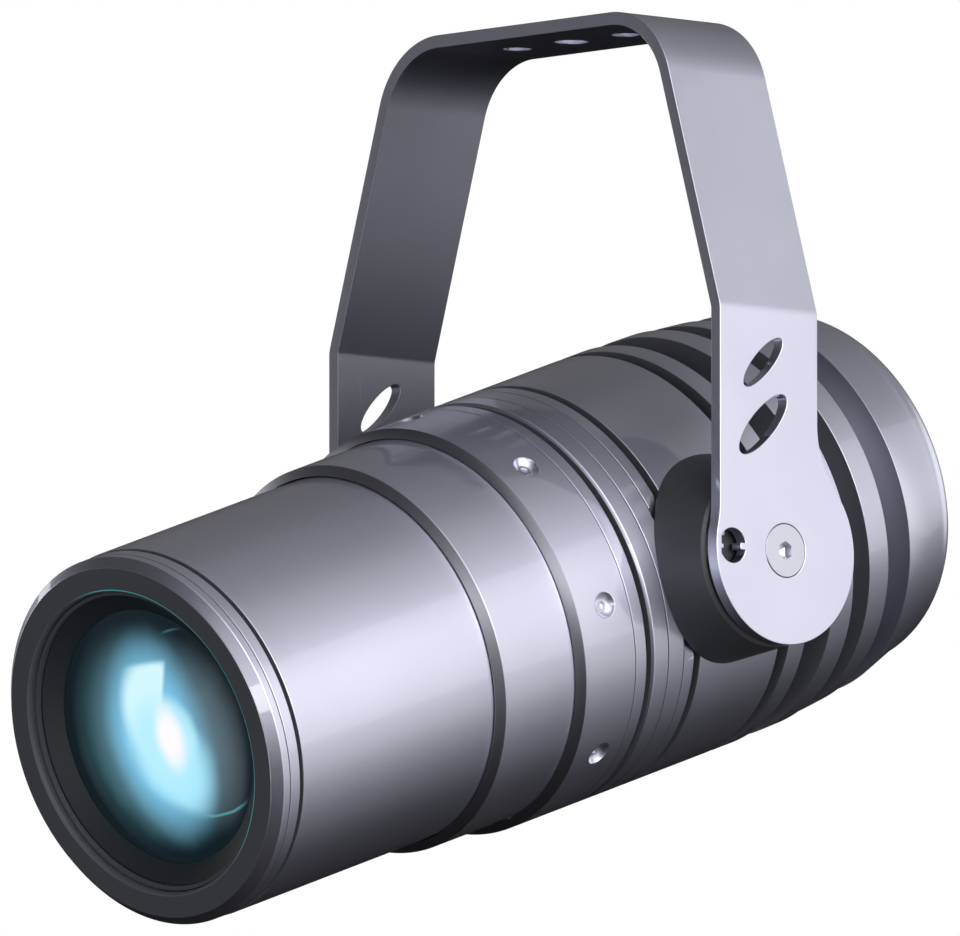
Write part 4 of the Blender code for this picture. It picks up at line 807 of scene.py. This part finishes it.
def dimpled_sleeve(satin, step):
    """The outer sleeve; each dimple is a round patch set in a square of the sleeve's own grid."""
    bm = bmesh.new()
    rear = SLEEVE_SEAM - HAIRLINE
    edge_front = [(rear, OUTER_BORE), (OUTER_FRONT + 0.15, OUTER_BORE),
                  (OUTER_FRONT, OUTER_BORE + 0.15), (OUTER_FRONT + 0.1, OUTER_BORE + 0.3),
                  (OUTER_SLOPE_END - 0.2, BODY - 0.15), (OUTER_SLOPE_END, BODY),
                  (OUTER_SLOPE_END + 0.45, BODY), (SLOPES_END, BODY)]
    edge_rear = [(-59.0, BODY), (rear - 0.45, BODY), (rear - 0.15, BODY), (rear, BODY - 0.15)]
    steps = []
    for i in range(PATCH_STEPS + 1):
        steps.append(DIMPLE_STATION - PATCH + 2.0 * PATCH * i / PATCH_STEPS)
    rows = edge_front + [(station, BODY) for station in steps] + edge_rear
    first_row = len(edge_front)
    last_row = first_row + PATCH_STEPS
    half = math.radians(180.0 / DIMPLE_COUNT)
    patch = PATCH / BODY
    columns = [-half + (half - patch) * i / FLANK_STEPS for i in range(FLANK_STEPS)]
    columns += [-patch + 2.0 * patch * i / PATCH_STEPS for i in range(PATCH_STEPS + 1)]
    columns += [patch + (half - patch) * (i + 1) / FLANK_STEPS for i in range(FLANK_STEPS)]
    last_column = FLANK_STEPS + PATCH_STEPS
    radii = [DIMPLE_SCREW, 3.4, 3.9, 4.4, 4.8, DIMPLE_RADIUS, DIMPLE_RADIUS + 0.15, 5.5, 6.3]

    def at(angle, station, radius):
        return Vector((radius * MM * math.cos(angle), station * MM, radius * MM * math.sin(angle)))

    def depth(distance):
        if distance >= DIMPLE_RADIUS + 0.15:
            return 0.0
        if distance > DIMPLE_RADIUS:
            return DIMPLE_LIP
        return (math.sqrt(DIMPLE_SPHERE ** 2 - distance ** 2)
                - math.sqrt(DIMPLE_SPHERE ** 2 - DIMPLE_RADIUS ** 2) + DIMPLE_LIP)

    for d in range(DIMPLE_COUNT):
        middle = math.tau * d / DIMPLE_COUNT
        grid = {}
        for i, (station, radius) in enumerate(rows):
            for j, offset in enumerate(columns):
                inside = first_row < i < last_row and FLANK_STEPS < j < last_column
                if not inside:
                    grid[i, j] = bm.verts.new(at(middle + offset, station, radius))
        for i in range(len(rows)):
            k = (i + 1) % len(rows)
            for j in range(len(columns) - 1):
                if first_row <= i < last_row and FLANK_STEPS <= j < last_column:
                    continue
                bm.faces.new((grid[i, j], grid[i, j + 1], grid[k, j + 1], grid[k, j]))
        border = [(first_row, FLANK_STEPS + n) for n in range(PATCH_STEPS)]
        border += [(first_row + n, last_column) for n in range(PATCH_STEPS)]
        border += [(last_row, last_column - n) for n in range(PATCH_STEPS)]
        border += [(last_row - n, FLANK_STEPS) for n in range(PATCH_STEPS)]
        outer = [grid[key] for key in border]
        turns = []
        for i, j in border:
            turns.append(math.atan2(rows[i][0] - DIMPLE_STATION, columns[j] * BODY))
        for radius in reversed(radii):
            ring = []
            for turn in turns:
                station = DIMPLE_STATION + radius * math.sin(turn)
                ring.append(bm.verts.new(at(middle + radius * math.cos(turn) / BODY, station,
                                            BODY - depth(radius))))
            for k in range(len(ring)):
                m = (k + 1) % len(ring)
                bm.faces.new((outer[k], outer[m], ring[m], ring[k]))
            outer = ring
        floor = bm.verts.new(at(middle, DIMPLE_STATION, BODY - depth(DIMPLE_SCREW) - 1.0))
        for k in range(len(outer)):
            bm.faces.new((outer[k], outer[(k + 1) % len(outer)], floor))
    bmesh.ops.remove_doubles(bm, verts=bm.verts, dist=2e-6)
    bmesh.ops.recalc_face_normals(bm, faces=bm.faces)
    piece("look_outer_sleeve", bm, TO_LAMP, "lamp", [satin, step], ["outer_sleeve"],
          on_shaded_step)


def make_sleeves(satin, step, shade, steel):
    """The sliding barrel, the two sleeves and the screws in the dimples."""
    ring_piece("look_front_barrel", [
        (BARREL_FRONT, BARREL), (BARREL_REAR, BARREL), (BARREL_REAR, RUNNING_BORE),
        (BARREL_FRONT, RUNNING_BORE)],
        "barrel", [satin, shade], ["front_barrel"], pick=in_groove)
    rear = SLEEVE_SEAM - HAIRLINE
    ring_piece("look_inner_sleeve", [
        (INNER_FRONT, INNER_BORE), (INNER_SLOPE_END, SLEEVE), (rear, SLEEVE), (rear, RING_BORE),
        (SLEEVE_FLANGE, RING_BORE), (SLEEVE_FLANGE, INNER_BORE)],
        "lamp", [satin, step], ["inner_sleeve"], pick=on_shaded_step)
    dimpled_sleeve(satin, step)
    screw = socket_screw(head=2.8, rim=0.3, key=2.5, depth=1.5, shank=2.7, length=5.4)
    bmesh.ops.rotate(screw, verts=screw.verts, matrix=Matrix.Rotation(QUARTER, 3, "Y"))
    around("look_sleeve_screws", screw, count=DIMPLE_COUNT, circle=BODY - SCREW_SUNK,
           height=-DIMPLE_STATION, first=0.0, pitch=360.0 / DIMPLE_COUNT, finish=steel,
           place=TO_LAMP @ Matrix.Rotation(QUARTER, 4, "X"), body="lamp",
           nodes=[f"sleeve_screw_{i}" for i in range(1, DIMPLE_COUNT + 1)])


def make_collars(satin, shade):
    """The lock ring, the zoom collar, the fixed collar, the relief ring and the housing."""
    finishes = [satin, shade]
    for name, front, rear in (("lock_ring", SLEEVE_SEAM + HAIRLINE, LOCK_REAR),
                              ("fixed_collar", COLLAR_SEAM + HAIRLINE, RELIEF_SEAM - HAIRLINE)):
        ring_piece(f"look_{name}", [
            (front, BODY), (rear, BODY), (rear, RING_BORE), (front, RING_BORE)],
            "lamp", finishes, [name], pick=in_groove)
    rear = COLLAR_SEAM - HAIRLINE
    ring_piece("look_zoom_collar", [
        (ZOOM_FRONT, BODY - ZOOM_CHAMFER), (ZOOM_FRONT + ZOOM_CHAMFER, BODY), (rear, BODY),
        (rear, RUNNING_BORE),
        (ZOOM_FRONT, RUNNING_BORE)],
        "zoom_ring", finishes, ["zoom_collar"], pick=in_groove)

    front = RELIEF_SEAM + HAIRLINE
    relief = revolve(softened([
        (front, BODY), (RELIEF_REAR, BODY), (RELIEF_REAR, RING_BORE), (front, RING_BORE)]))
    pockets = []
    for side in (-1.0, 1.0):
        pockets.append(sideways(rod(POCKET_FLOOR, POCKET_TOP, POCKET, POCKET_ROUND), side))
    bm = cut(relief, pockets, "look_relief_ring")
    piece("look_relief_ring", bm, TO_LAMP, "lamp", finishes, ["relief_ring"],
          in_groove)
    ring_piece("look_main_housing", [
        (HOUSING_FRONT, BODY), (HOUSING_REAR, BODY), (HOUSING_REAR, HOUSING_BORE),
        (HOUSING_STEP, HOUSING_BORE), (HOUSING_STEP, RING_BORE), (HOUSING_FRONT, RING_BORE)],
        "lamp", finishes, ["main_housing"], pick=in_groove)


def make_heat_sink(satin, shade):
    outline = [(SINK_FRONT, 0.0), (SINK_FRONT, SINK_SPIGOT), (HOUSING_REAR, SINK_SPIGOT),
               (HOUSING_REAR, SINK_CORE)]
    for front, rear, front_radius, rear_radius in FINS:
        outline += [(front, SINK_CORE), (front, front_radius), (rear, rear_radius), (rear, SINK_CORE)]
    outline += [(SINK_REAR, SINK_CORE), (SINK_REAR, 0.0)]
    ring_piece("look_heat_sink", outline, "lamp", [satin, shade], ["heat_sink"],
               closed=False, pick=between_fins)


def make_rear_cap(satin, steel):
    """The domed cap, with its screw seats and the gland's hole, and its screws."""
    inside = CAP_REAR - CAP_WALL
    outline = softened([
        (inside, CAP_FLAT), (CAP_SHOULDER, CAP_WAIST - CAP_WALL), (CAP_STEP, CAP_MOUTH - CAP_WALL),
        (CAP_STEP, CAP_SEAT), (CAP_FRONT, CAP_SEAT), (CAP_FRONT, CAP_MOUTH),
        (CAP_SHOULDER, CAP_WAIST)], False)
    for i in range(1, 13):
        turn = QUARTER * i / 12
        outline.append((CAP_SHOULDER + (CAP_REAR - CAP_SHOULDER) * math.sin(turn),
                        CAP_FLAT + (CAP_WAIST - CAP_FLAT) * math.cos(turn)))
    cap = revolve([(inside, 0.0)] + outline + [(CAP_REAR, 59.0), (CAP_REAR, 0.0)], False)
    outside = CAP_REAR + TOOL_OVERRUN
    through = CAP_REAR - 2.0 * CAP_WALL
    tools = []
    for k in range(CAP_SCREWS):
        turn = math.radians(90.0 + 360.0 / CAP_SCREWS * k)
        seat = revolve([(outside, 0.0), (outside, CONE_MOUTH), (CAP_REAR - CONE_DEPTH, CAP_SCREW_HOLE),
                        (through, CAP_SCREW_HOLE), (through, 0.0)], False, SMALL_ROUND)
        tools.append(moved(seat, CAP_SCREW_CIRCLE * math.cos(turn), 0.0,
                           CAP_SCREW_CIRCLE * math.sin(turn)))
    tools.append(moved(rod(outside, through, GLAND_HOLE), 0.0, 0.0, -GLAND_DROP))
    bm = cut(cap, tools, "look_rear_cap")
    piece("look_rear_cap", bm, TO_LAMP, "lamp", satin, ["rear_cap"])
    screw = socket_screw(head=4.0, rim=0.2, key=2.5, depth=1.3, shank=2.0, length=12.0)
    around("look_cap_screws", moved(screw, 0.0, 0.0, -0.1), count=CAP_SCREWS,
           circle=CAP_SCREW_CIRCLE, height=CAP_REAR, first=-90.0, pitch=360.0 / CAP_SCREWS,
           finish=steel, place=TO_LAMP @ Matrix.Rotation(-QUARTER, 4, "X"), body="lamp",
           nodes=[f"cap_screw_{i}" for i in range(1, CAP_SCREWS + 1)])


def make_gland_nut(plastic):
    nut = bmesh.new()
    rings = []
    for station, radius, flats in NUT_LAYERS:
        ring = []
        for k in range(SMALL_ROUND):
            turn = math.tau * k / SMALL_ROUND
            reach = min(radius, hexagon_reach(NUT_ACROSS, turn)) if flats else radius
            ring.append(nut.verts.new((reach * MM * math.cos(turn), station * MM,
                                       (reach * math.sin(turn) - GLAND_DROP) * MM)))
        rings.append(ring)
    for one, two in zip(rings, rings[1:] + rings[:1]):
        for k in range(SMALL_ROUND):
            m = (k + 1) % SMALL_ROUND
            nut.faces.new((one[k], two[k], two[m], one[m]))
    bmesh.ops.recalc_face_normals(nut, faces=nut.faces)
    piece("look_gland_nut", nut, TO_LAMP, "lamp", plastic, ["gland_nut"])


def boss_radius(offset):
    """Radius of the tapered boss at a distance from the lamp's middle."""
    return BOSS_TIP + BOSS_TAPER * (BOSS_END - offset)


def make_boss(name, side, boss_paint):
    """The tapered boss, cut to sit on the housing."""
    shoulder = BOSS_END - BOSS_CHAMFER
    outline = softened([
        (BOSS_START, boss_radius(BOSS_START)), (shoulder, boss_radius(shoulder)),
        (BOSS_END, BOSS_TIP - BOSS_CHAMFER), (BOSS_END, BOLT_BORE)], False)
    profile = [(BOSS_START, 0.0)] + outline + [(BOLT_DEPTH, BOLT_BORE), (BOLT_DEPTH, 0.0)]
    boss = sideways(revolve(profile, False, BOSS_ROUND), side)
    saddle = rod(-SADDLE_HALF, SADDLE_HALF, BODY + BOSS_GAP, SADDLE_ROUND)
    bm = cut(boss, [saddle], f"look_boss_{name}")
    piece(f"look_boss_{name}", bm, TO_LAMP, "lamp", boss_paint, [f"boss_{name}"])


def make_tilt_disc(name, side, dark, mark_paint):
    """The disc on a boss and the scale marks round it."""
    disc = revolve(softened([
        (DISC_BACK, BOLT_BORE), (DISC_BACK, DISC_RADIUS), (DISC_FACE, DISC_RADIUS),
        (DISC_FACE, HUB_RADIUS), (DISC_FACE + HUB_HEIGHT, HUB_RADIUS),
        (DISC_FACE + HUB_HEIGHT, BOLT_BORE)], edge=0.15))
    piece(f"look_tilt_disc_{name}", sideways(disc, side), TO_LAMP, "lamp", dark,
          [f"tilt_disc_{name}"])
    bar = bmesh.new()
    size = Matrix.Diagonal((*(length * MM for length in MARK_SIZE), 1.0))
    bmesh.ops.create_cube(bar, size=1.0, matrix=size)
    bmesh.ops.bevel(bar, geom=bar.edges[:], offset=MARK_EDGE * MM, segments=2, affect="EDGES")
    around(f"look_tilt_marks_{name}", bar, count=MARK_COUNT, circle=MARK_CIRCLE,
           height=DISC_FACE + 0.15, first=-170.0, pitch=10.0, finish=mark_paint,
           place=TO_LAMP @ Matrix.Rotation(side * QUARTER, 4, "Y"), body="lamp", nodes=())


def make_pivot_sides(boss_paint, dark, steel, mark_paint):
    """What sits on the pivot axis, left and right."""
    for side, name in ((-1.0, "left"), (1.0, "right")):
        make_boss(name, side, boss_paint)
        make_tilt_disc(name, side, dark, mark_paint)
        screw = socket_screw(head=SCREW_HEAD, rim=0.25, key=6.0, depth=3.5, shank=5.0, length=27.0)
        screw.transform(Matrix.Translation((side * SPAN * MM, 0.0, 0.0))
                        @ Matrix.Rotation(side * QUARTER, 4, "Y"))
        piece(f"look_pivot_screw_{name}", screw, TO_YOKE, "yoke", steel, [f"pivot_screw_{name}"])


def arc_points(centre, radius, start, end, steps):
    made = []
    for i in range(steps + 1):
        turn = math.radians(start + (end - start) * i / steps)
        made.append((centre[0] + radius * math.cos(turn), centre[1] + radius * math.sin(turn)))
    return made


def circle_points(centre, radius, steps):
    return arc_points(centre, radius, 0.0, 360.0, steps)[:-1]


def leg_lengths():
    """Lengths of the flat blank's stretches along its outer face, from the pivot to its middle."""
    lean = math.radians(LEG_LEAN)
    up = LEG_BEND_HEIGHT - LEG_BEND * math.tan(lean / 2.0)
    bend = LEG_BEND * lean
    turn = QUARTER - lean
    slope = (DROP - LEG_BEND_HEIGHT) / math.cos(lean)
    straight = slope - LEG_BEND * math.tan(lean / 2.0) - TOP_BEND * math.tan(turn / 2.0)
    top = TOP_BEND * turn
    apex = SPAN - (DROP - LEG_BEND_HEIGHT) * math.tan(lean)
    flat = apex - TOP_BEND * math.tan(turn / 2.0)
    return up, bend, straight, top, flat


def bent(along, depth, lengths):
    """Where a point of the blank ends up: along from the pivot, depth under the outer face."""
    x = SPAN
    z = 0.0
    heading = 0.0
    for length, radius in zip(lengths, (None, LEG_BEND, None, TOP_BEND, None)):
        step = min(along, length)
        if radius is None:
            x -= step * math.sin(heading)
            z += step * math.cos(heading)
        else:
            turn = step / radius
            x -= radius * (math.cos(heading) - math.cos(heading + turn))
            z += radius * (math.sin(heading + turn) - math.sin(heading))
            heading += turn
        along -= step
        if along <= 0.0:
            break
    return x - depth * math.cos(heading), z - depth * math.sin(heading)


def blank_outline(total):
    """The bar's outline, laid flat: round ends round the pivots, hollow necks up to the strap."""

    def neck(edge):
        offset = abs(edge) + NECK_RADIUS
        height = math.sqrt((END_RADIUS + NECK_RADIUS) ** 2 - offset ** 2)
        away = math.degrees(math.atan2(height, offset))
        side = math.copysign(1.0, edge)
        arc = arc_points((offset, height), NECK_RADIUS, 180.0, 180.0 + away, 20)
        return [(side * a, b) for a, b in arc], away

    front_neck, front_away = neck(-STRAP_FORWARD - STRAP_WIDTH / 2.0)
    rear_neck, rear_away = neck(-STRAP_FORWARD + STRAP_WIDTH / 2.0)
    end = arc_points((0.0, 0.0), END_RADIUS, 180.0 - front_away, 360.0 + rear_away, 90)
    half = front_neck + end[1:-1] + rear_neck[::-1]
    return half + [(a, 2.0 * total - b) for a, b in reversed(half)]


def end_holes():
    """The holes of one leg: the pivot screw's, the slots and the window with its pointer."""
    holes = [circle_points((0.0, 0.0), SCREW_HEAD + 0.15, 72)]
    lean = Matrix.Rotation(math.radians(SLOT_TURN), 2)
    for height, length, width in SLOTS:
        oval = []
        for a, b in circle_points((0.0, 0.0), 0.5, 64):
            spot = lean @ Vector((a * length, b * width))
            oval.append((spot.x + SLOT_OFFSET, spot.y + height))
        holes.append(oval)
    flat = math.degrees(math.acos(WINDOW_FLAT / WINDOW_RADIUS))
    tab = math.degrees(math.asin(POINTER_HALF / WINDOW_RADIUS))
    centre = (WINDOW_OFFSET, 0.0)
    tip = WINDOW_OFFSET + WINDOW_RADIUS - POINTER_LENGTH
    window = arc_points(centre, WINDOW_RADIUS, tab, 180.0 - flat, 24)
    window += arc_points(centre, WINDOW_RADIUS, 180.0 + flat, 360.0 - tab, 24)
    holes.append(window + [(tip, -POINTER_HALF), (tip, POINTER_HALF)])
    return holes


def flat_blank(total):
    """The bar cut flat, with all its holes and its edges rounded."""
    loops = [blank_outline(total)]
    holes = end_holes()
    loops += holes
    for hole in holes:
        loops.append([(a, 2.0 * total - b) for a, b in hole])
    for offset, radius in MOUNTS:
        loops.append(circle_points((-STRAP_FORWARD, total + offset), radius, 48))
    curve = bpy.data.curves.new("yoke_blank", "CURVE")
    curve.dimensions = "2D"
    curve.fill_mode = "BOTH"
    curve.bevel_depth = YOKE_EDGE * MM
    curve.bevel_resolution = 2
    curve.offset = -YOKE_EDGE * MM
    curve.extrude = (STRAP / 2.0 - YOKE_EDGE) * MM
    for loop in loops:
        line = curve.splines.new("POLY")
        line.points.add(len(loop) - 1)
        line.use_cyclic_u = True
        for point, (a, b) in zip(line.points, loop):
            point.co = (a * MM, b * MM, 0.0, 1.0)
    holder = bpy.data.objects.new("yoke_blank", curve)
    bpy.context.scene.collection.objects.link(holder)
    bm = as_bmesh(baked(holder, "yoke_blank"))
    bpy.data.curves.remove(curve)
    bmesh.ops.remove_doubles(bm, verts=bm.verts, dist=1e-6)
    return bm


def make_yoke(paint, inner_shade_paint):
    """The blank with its holes, cut flat, then bent as the real bar is."""
    lengths = leg_lengths()
    total = sum(lengths)
    bm = flat_blank(total)
    up, bend, straight, top, _ = lengths
    cuts = [0.6 * up, up + bend + 0.5 * straight, total]
    cuts += [up + bend * i / 8 for i in range(9)]
    cuts += [up + bend + straight + top * i / 24 for i in range(25)]
    for at in cuts:
        for station in {at, 2.0 * total - at}:
            bmesh.ops.bisect_plane(bm, geom=bm.verts[:] + bm.edges[:] + bm.faces[:], dist=1e-7,
                                   plane_co=(0.0, station * MM, 0.0), plane_no=(0.0, 1.0, 0.0))
    for vert in bm.verts:
        across, along, lift = vert.co / MM
        far = along > total
        x, z = bent(2.0 * total - along if far else along, STRAP / 2.0 - lift, lengths)
        vert.co = Vector((-x if far else x, across, z)) * MM
    bmesh.ops.recalc_face_normals(bm, faces=bm.faces)
    work = scratch("yoke_work", bm)
    work.data.shade_smooth()
    work.modifiers.new("true_flats", "WEIGHTED_NORMAL").keep_sharp = True
    mesh = baked(work, "look_yoke")
    mesh.materials.append(paint)
    mesh.materials.append(inner_shade_paint)
    # painted shade: faces turned towards the middle of the yoke take the darker inner paint
    for face in mesh.polygons:
        middle = Vector((0.0, face.center.y, LEG_BEND_HEIGHT * MM))
        face.material_index = int(face.normal.dot((middle - face.center).normalized()) > 0.3)
    mesh.transform(TO_YOKE)
    made = bpy.data.objects.new("look_yoke", mesh)
    bpy.context.scene.collection.objects.link(made)
    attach(made, "yoke")
    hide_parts("yoke")


def soft_box(name, direction, distance, width, height, power):
    """A soft box that faces the lamp from a direction."""
    light = bpy.data.lights.new(name, "AREA")
    light.shape = "RECTANGLE"
    light.size = width
    light.size_y = height
    light.energy = power
    holder = bpy.data.objects.new(name, light)
    bpy.context.scene.collection.objects.link(holder)
    holder.location = PIVOT + Vector(direction).normalized() * distance
    holder.rotation_euler = (-Vector(direction)).to_track_quat("-Z", "Y").to_euler()
    holder.visible_camera = False


def pale_floor():
    """A floor that fades to white towards its rim and can't be seen from below."""
    f = Finish("pale_floor")
    tone = f.smooth(f.noise(f.spot(), 40.0), 0.3, 0.7, 0.78, 0.82)
    paint = f.node("ShaderNodeBsdfDiffuse", None, {"Color": tone})
    glow = f.node("ShaderNodeEmission", None, {"Color": WHITE, "Strength": 1.0})
    clear = f.node("ShaderNodeBsdfTransparent")
    path = f.node("ShaderNodeLightPath").socket.node
    seen = Wire(f, path.outputs["Is Camera Ray"])
    rim = f.smooth(f.length(f.spot()), 0.5, 1.3, 0.55, 1.0)
    faded = f.node("ShaderNodeMixShader", None, {0: rim * seen, 1: paint, 2: glow})
    below = f.node("ShaderNodeNewGeometry", output=BACKFACING)
    f.close(f.node("ShaderNodeMixShader", None, {0: below, 1: faded, 2: clear}))
    bm = bmesh.new()
    bmesh.ops.create_circle(bm, cap_ends=True, segments=96, radius=FLOOR_RADIUS)
    floor = scratch("floor", bm)
    floor.location = (0.0, 0.0, FLOOR_HEIGHT)
    floor.data.materials.append(f.made)
    floor.visible_glossy = False
    floor.visible_diffuse = False
    return floor


def dim_walls():
    """A sphere round the set that carries the broad soft lights and that the camera doesn't see."""
    f = Finish("dim_walls")
    away = f.node("ShaderNodeVectorMath", {"operation": "NORMALIZE"}, {0: f.spot()})
    _, _, height = f.parts(away)
    glow = f.smooth(height, -0.2, 0.9) * 0.03 + 0.004
    for dx, dy, dz, width, strength in WALL_LIGHTS:
        toward = f.node("ShaderNodeVectorMath", {"operation": "DOT_PRODUCT"},
                        {0: away, 1: (dx, dy, dz)}, 1)
        glow = glow + f.smooth(toward, math.cos(math.radians(width)), 1.0, 0.0, strength)
    f.close(f.node("ShaderNodeEmission", None, {"Color": WHITE, "Strength": glow}))
    bm = bmesh.new()
    bmesh.ops.create_icosphere(bm, subdivisions=5, radius=WALL_RADIUS)
    bmesh.ops.reverse_faces(bm, faces=bm.faces)
    walls = scratch("walls", bm)
    walls.data.materials.append(f.made)
    walls.location = PIVOT
    walls.visible_camera = False
    walls.visible_shadow = False
    return walls


def white_surround():
    """A world that is white to the camera, in reflections and through glass, and lights nothing."""
    world = bpy.data.worlds.new("surround")
    bpy.context.scene.world = world
    world.use_nodes = True
    tree = world.node_tree
    tree.nodes.clear()
    path = tree.nodes.new("ShaderNodeLightPath")
    either = tree.nodes.new("ShaderNodeMath")
    either.operation = "ADD"
    any_ray = tree.nodes.new("ShaderNodeMath")
    any_ray.operation = "ADD"
    any_ray.use_clamp = True
    sky = tree.nodes.new("ShaderNodeBackground")
    sky.inputs["Color"].default_value = (*WHITE, 1.0)
    out = tree.nodes.new("ShaderNodeOutputWorld")
    for source, sent, target, taken in (
            (path, "Is Camera Ray", either, 0), (path, "Is Glossy Ray", either, 1),
            (either, 0, any_ray, 0), (path, "Is Transmission Ray", any_ray, 1),
            (any_ray, 0, sky, "Strength"), (sky, 0, out, 0)):
        tree.links.new(source.outputs[sent], target.inputs[taken])


def studio():
    """Pale floor, dim walls, a white surround and the soft boxes."""
    floor = pale_floor()
    walls = dim_walls()
    white_surround()
    for row in SOFT_BOXES:
        soft_box(*row)


def set_camera():
    scene = bpy.context.scene
    scene.view_settings.view_transform = "Standard"
    camera = bpy.data.cameras.new("camera")
    camera.lens = CAMERA_LENS
    camera.sensor_width = CAMERA_FILM
    camera.clip_end = 100.0
    holder = bpy.data.objects.new("camera", camera)
    scene.collection.objects.link(holder)
    spot = PIVOT + CAMERA_BACK * CAMERA_DISTANCE - CAMERA_RIGHT * CAMERA_LEFTWARD
    spot += CAMERA_UP * CAMERA_RAISED
    turn = Matrix((CAMERA_RIGHT, CAMERA_UP, CAMERA_BACK)).transposed().to_4x4()
    holder.matrix_world = Matrix.Translation(spot) @ turn
    scene.camera = holder


def build():
    silver = (0.640, 0.653, 0.790)
    satin = turned_metal("satin_silver_look", silver, 0.42)
    # painted shade: a darker copy of the satin metal for the sleeves' sloping front edges
    step = turned_metal("step_painted_shade_look", (0.460, 0.468, 0.540), 0.36, 0.0)
    # painted shade: a darker grey for ring ends, groove floors and the sides of the fins
    shade = painted_metal("groove_painted_shade_look", (0.32, 0.325, 0.36), 0.50, 0.8, 0.0)
    yoke_paint = painted_metal("yoke_silver_look", silver, 0.42, 1.0, 1.0)
    # painted shade: a darker copy of the yoke's paint for the faces turned to the middle
    inner_shade_paint = painted_metal("yoke_inner_painted_shade_look", (0.205, 0.209, 0.245), 0.45, 1.0, 0.0)
    boss_paint = painted_metal("boss_grey_look", (0.105, 0.108, 0.124), 0.50, 0.5, 0.0)
    graphite = painted_metal("bezel_graphite_look", (0.092, 0.100, 0.116), 0.50, 0.1, 0.0)
    ring_dark = painted_metal("retaining_dark_look", (0.026, 0.032, 0.038), 0.50, 0.1, 0.0)
    dark = turned_metal("dark_anodised_look", (0.07, 0.07, 0.08), 0.50, 0.0)
    steel = turned_metal("screw_steel_look", (0.66, 0.67, 0.76), 0.32, 0.0)
    mark_paint = painted_metal("mark_white_look", (0.75, 0.75, 0.80), 0.50, 0.0, 0.0)
    plastic = moulded("gland_black_look", (0.02, 0.02, 0.022), 0.45)
    white = moulded("board_white_look", (0.70, 0.71, 0.69), 0.45)
    rubber = moulded("gasket_black_look", (0.02, 0.02, 0.02), 0.80)
    yellow = moulded("emitter_yellow_look", (0.90, 0.75, 0.25), 0.30)
    by_slot = {"satin_silver": satin, "yoke_metal": yoke_paint, "boss_grey": boss_paint,
               "bezel_grey": graphite, "dark_anodised": dark, "screw_steel": steel,
               "gland_black": plastic, "board_white": white, "gasket_rubber": rubber,
               "emitter_yellow": yellow}
    for row in frame["record"]["subparts"]:
        if row["material_slot"] in by_slot:
            for holder in frame["nodes"][row["node"]].material_slots:
                holder.material = by_slot[row["material_slot"]]

    make_bezel(satin, shade, graphite, painted_lip_glow())
    make_lens(graphite, ring_dark, lit_lens())
    make_sleeves(satin, step, shade, steel)
    make_collars(satin, shade)
    make_heat_sink(satin, shade)
    make_rear_cap(satin, steel)
    make_gland_nut(plastic)
    make_pivot_sides(boss_paint, dark, steel, mark_paint)
    make_yoke(yoke_paint, inner_shade_paint)
    studio()
    set_camera()


build()
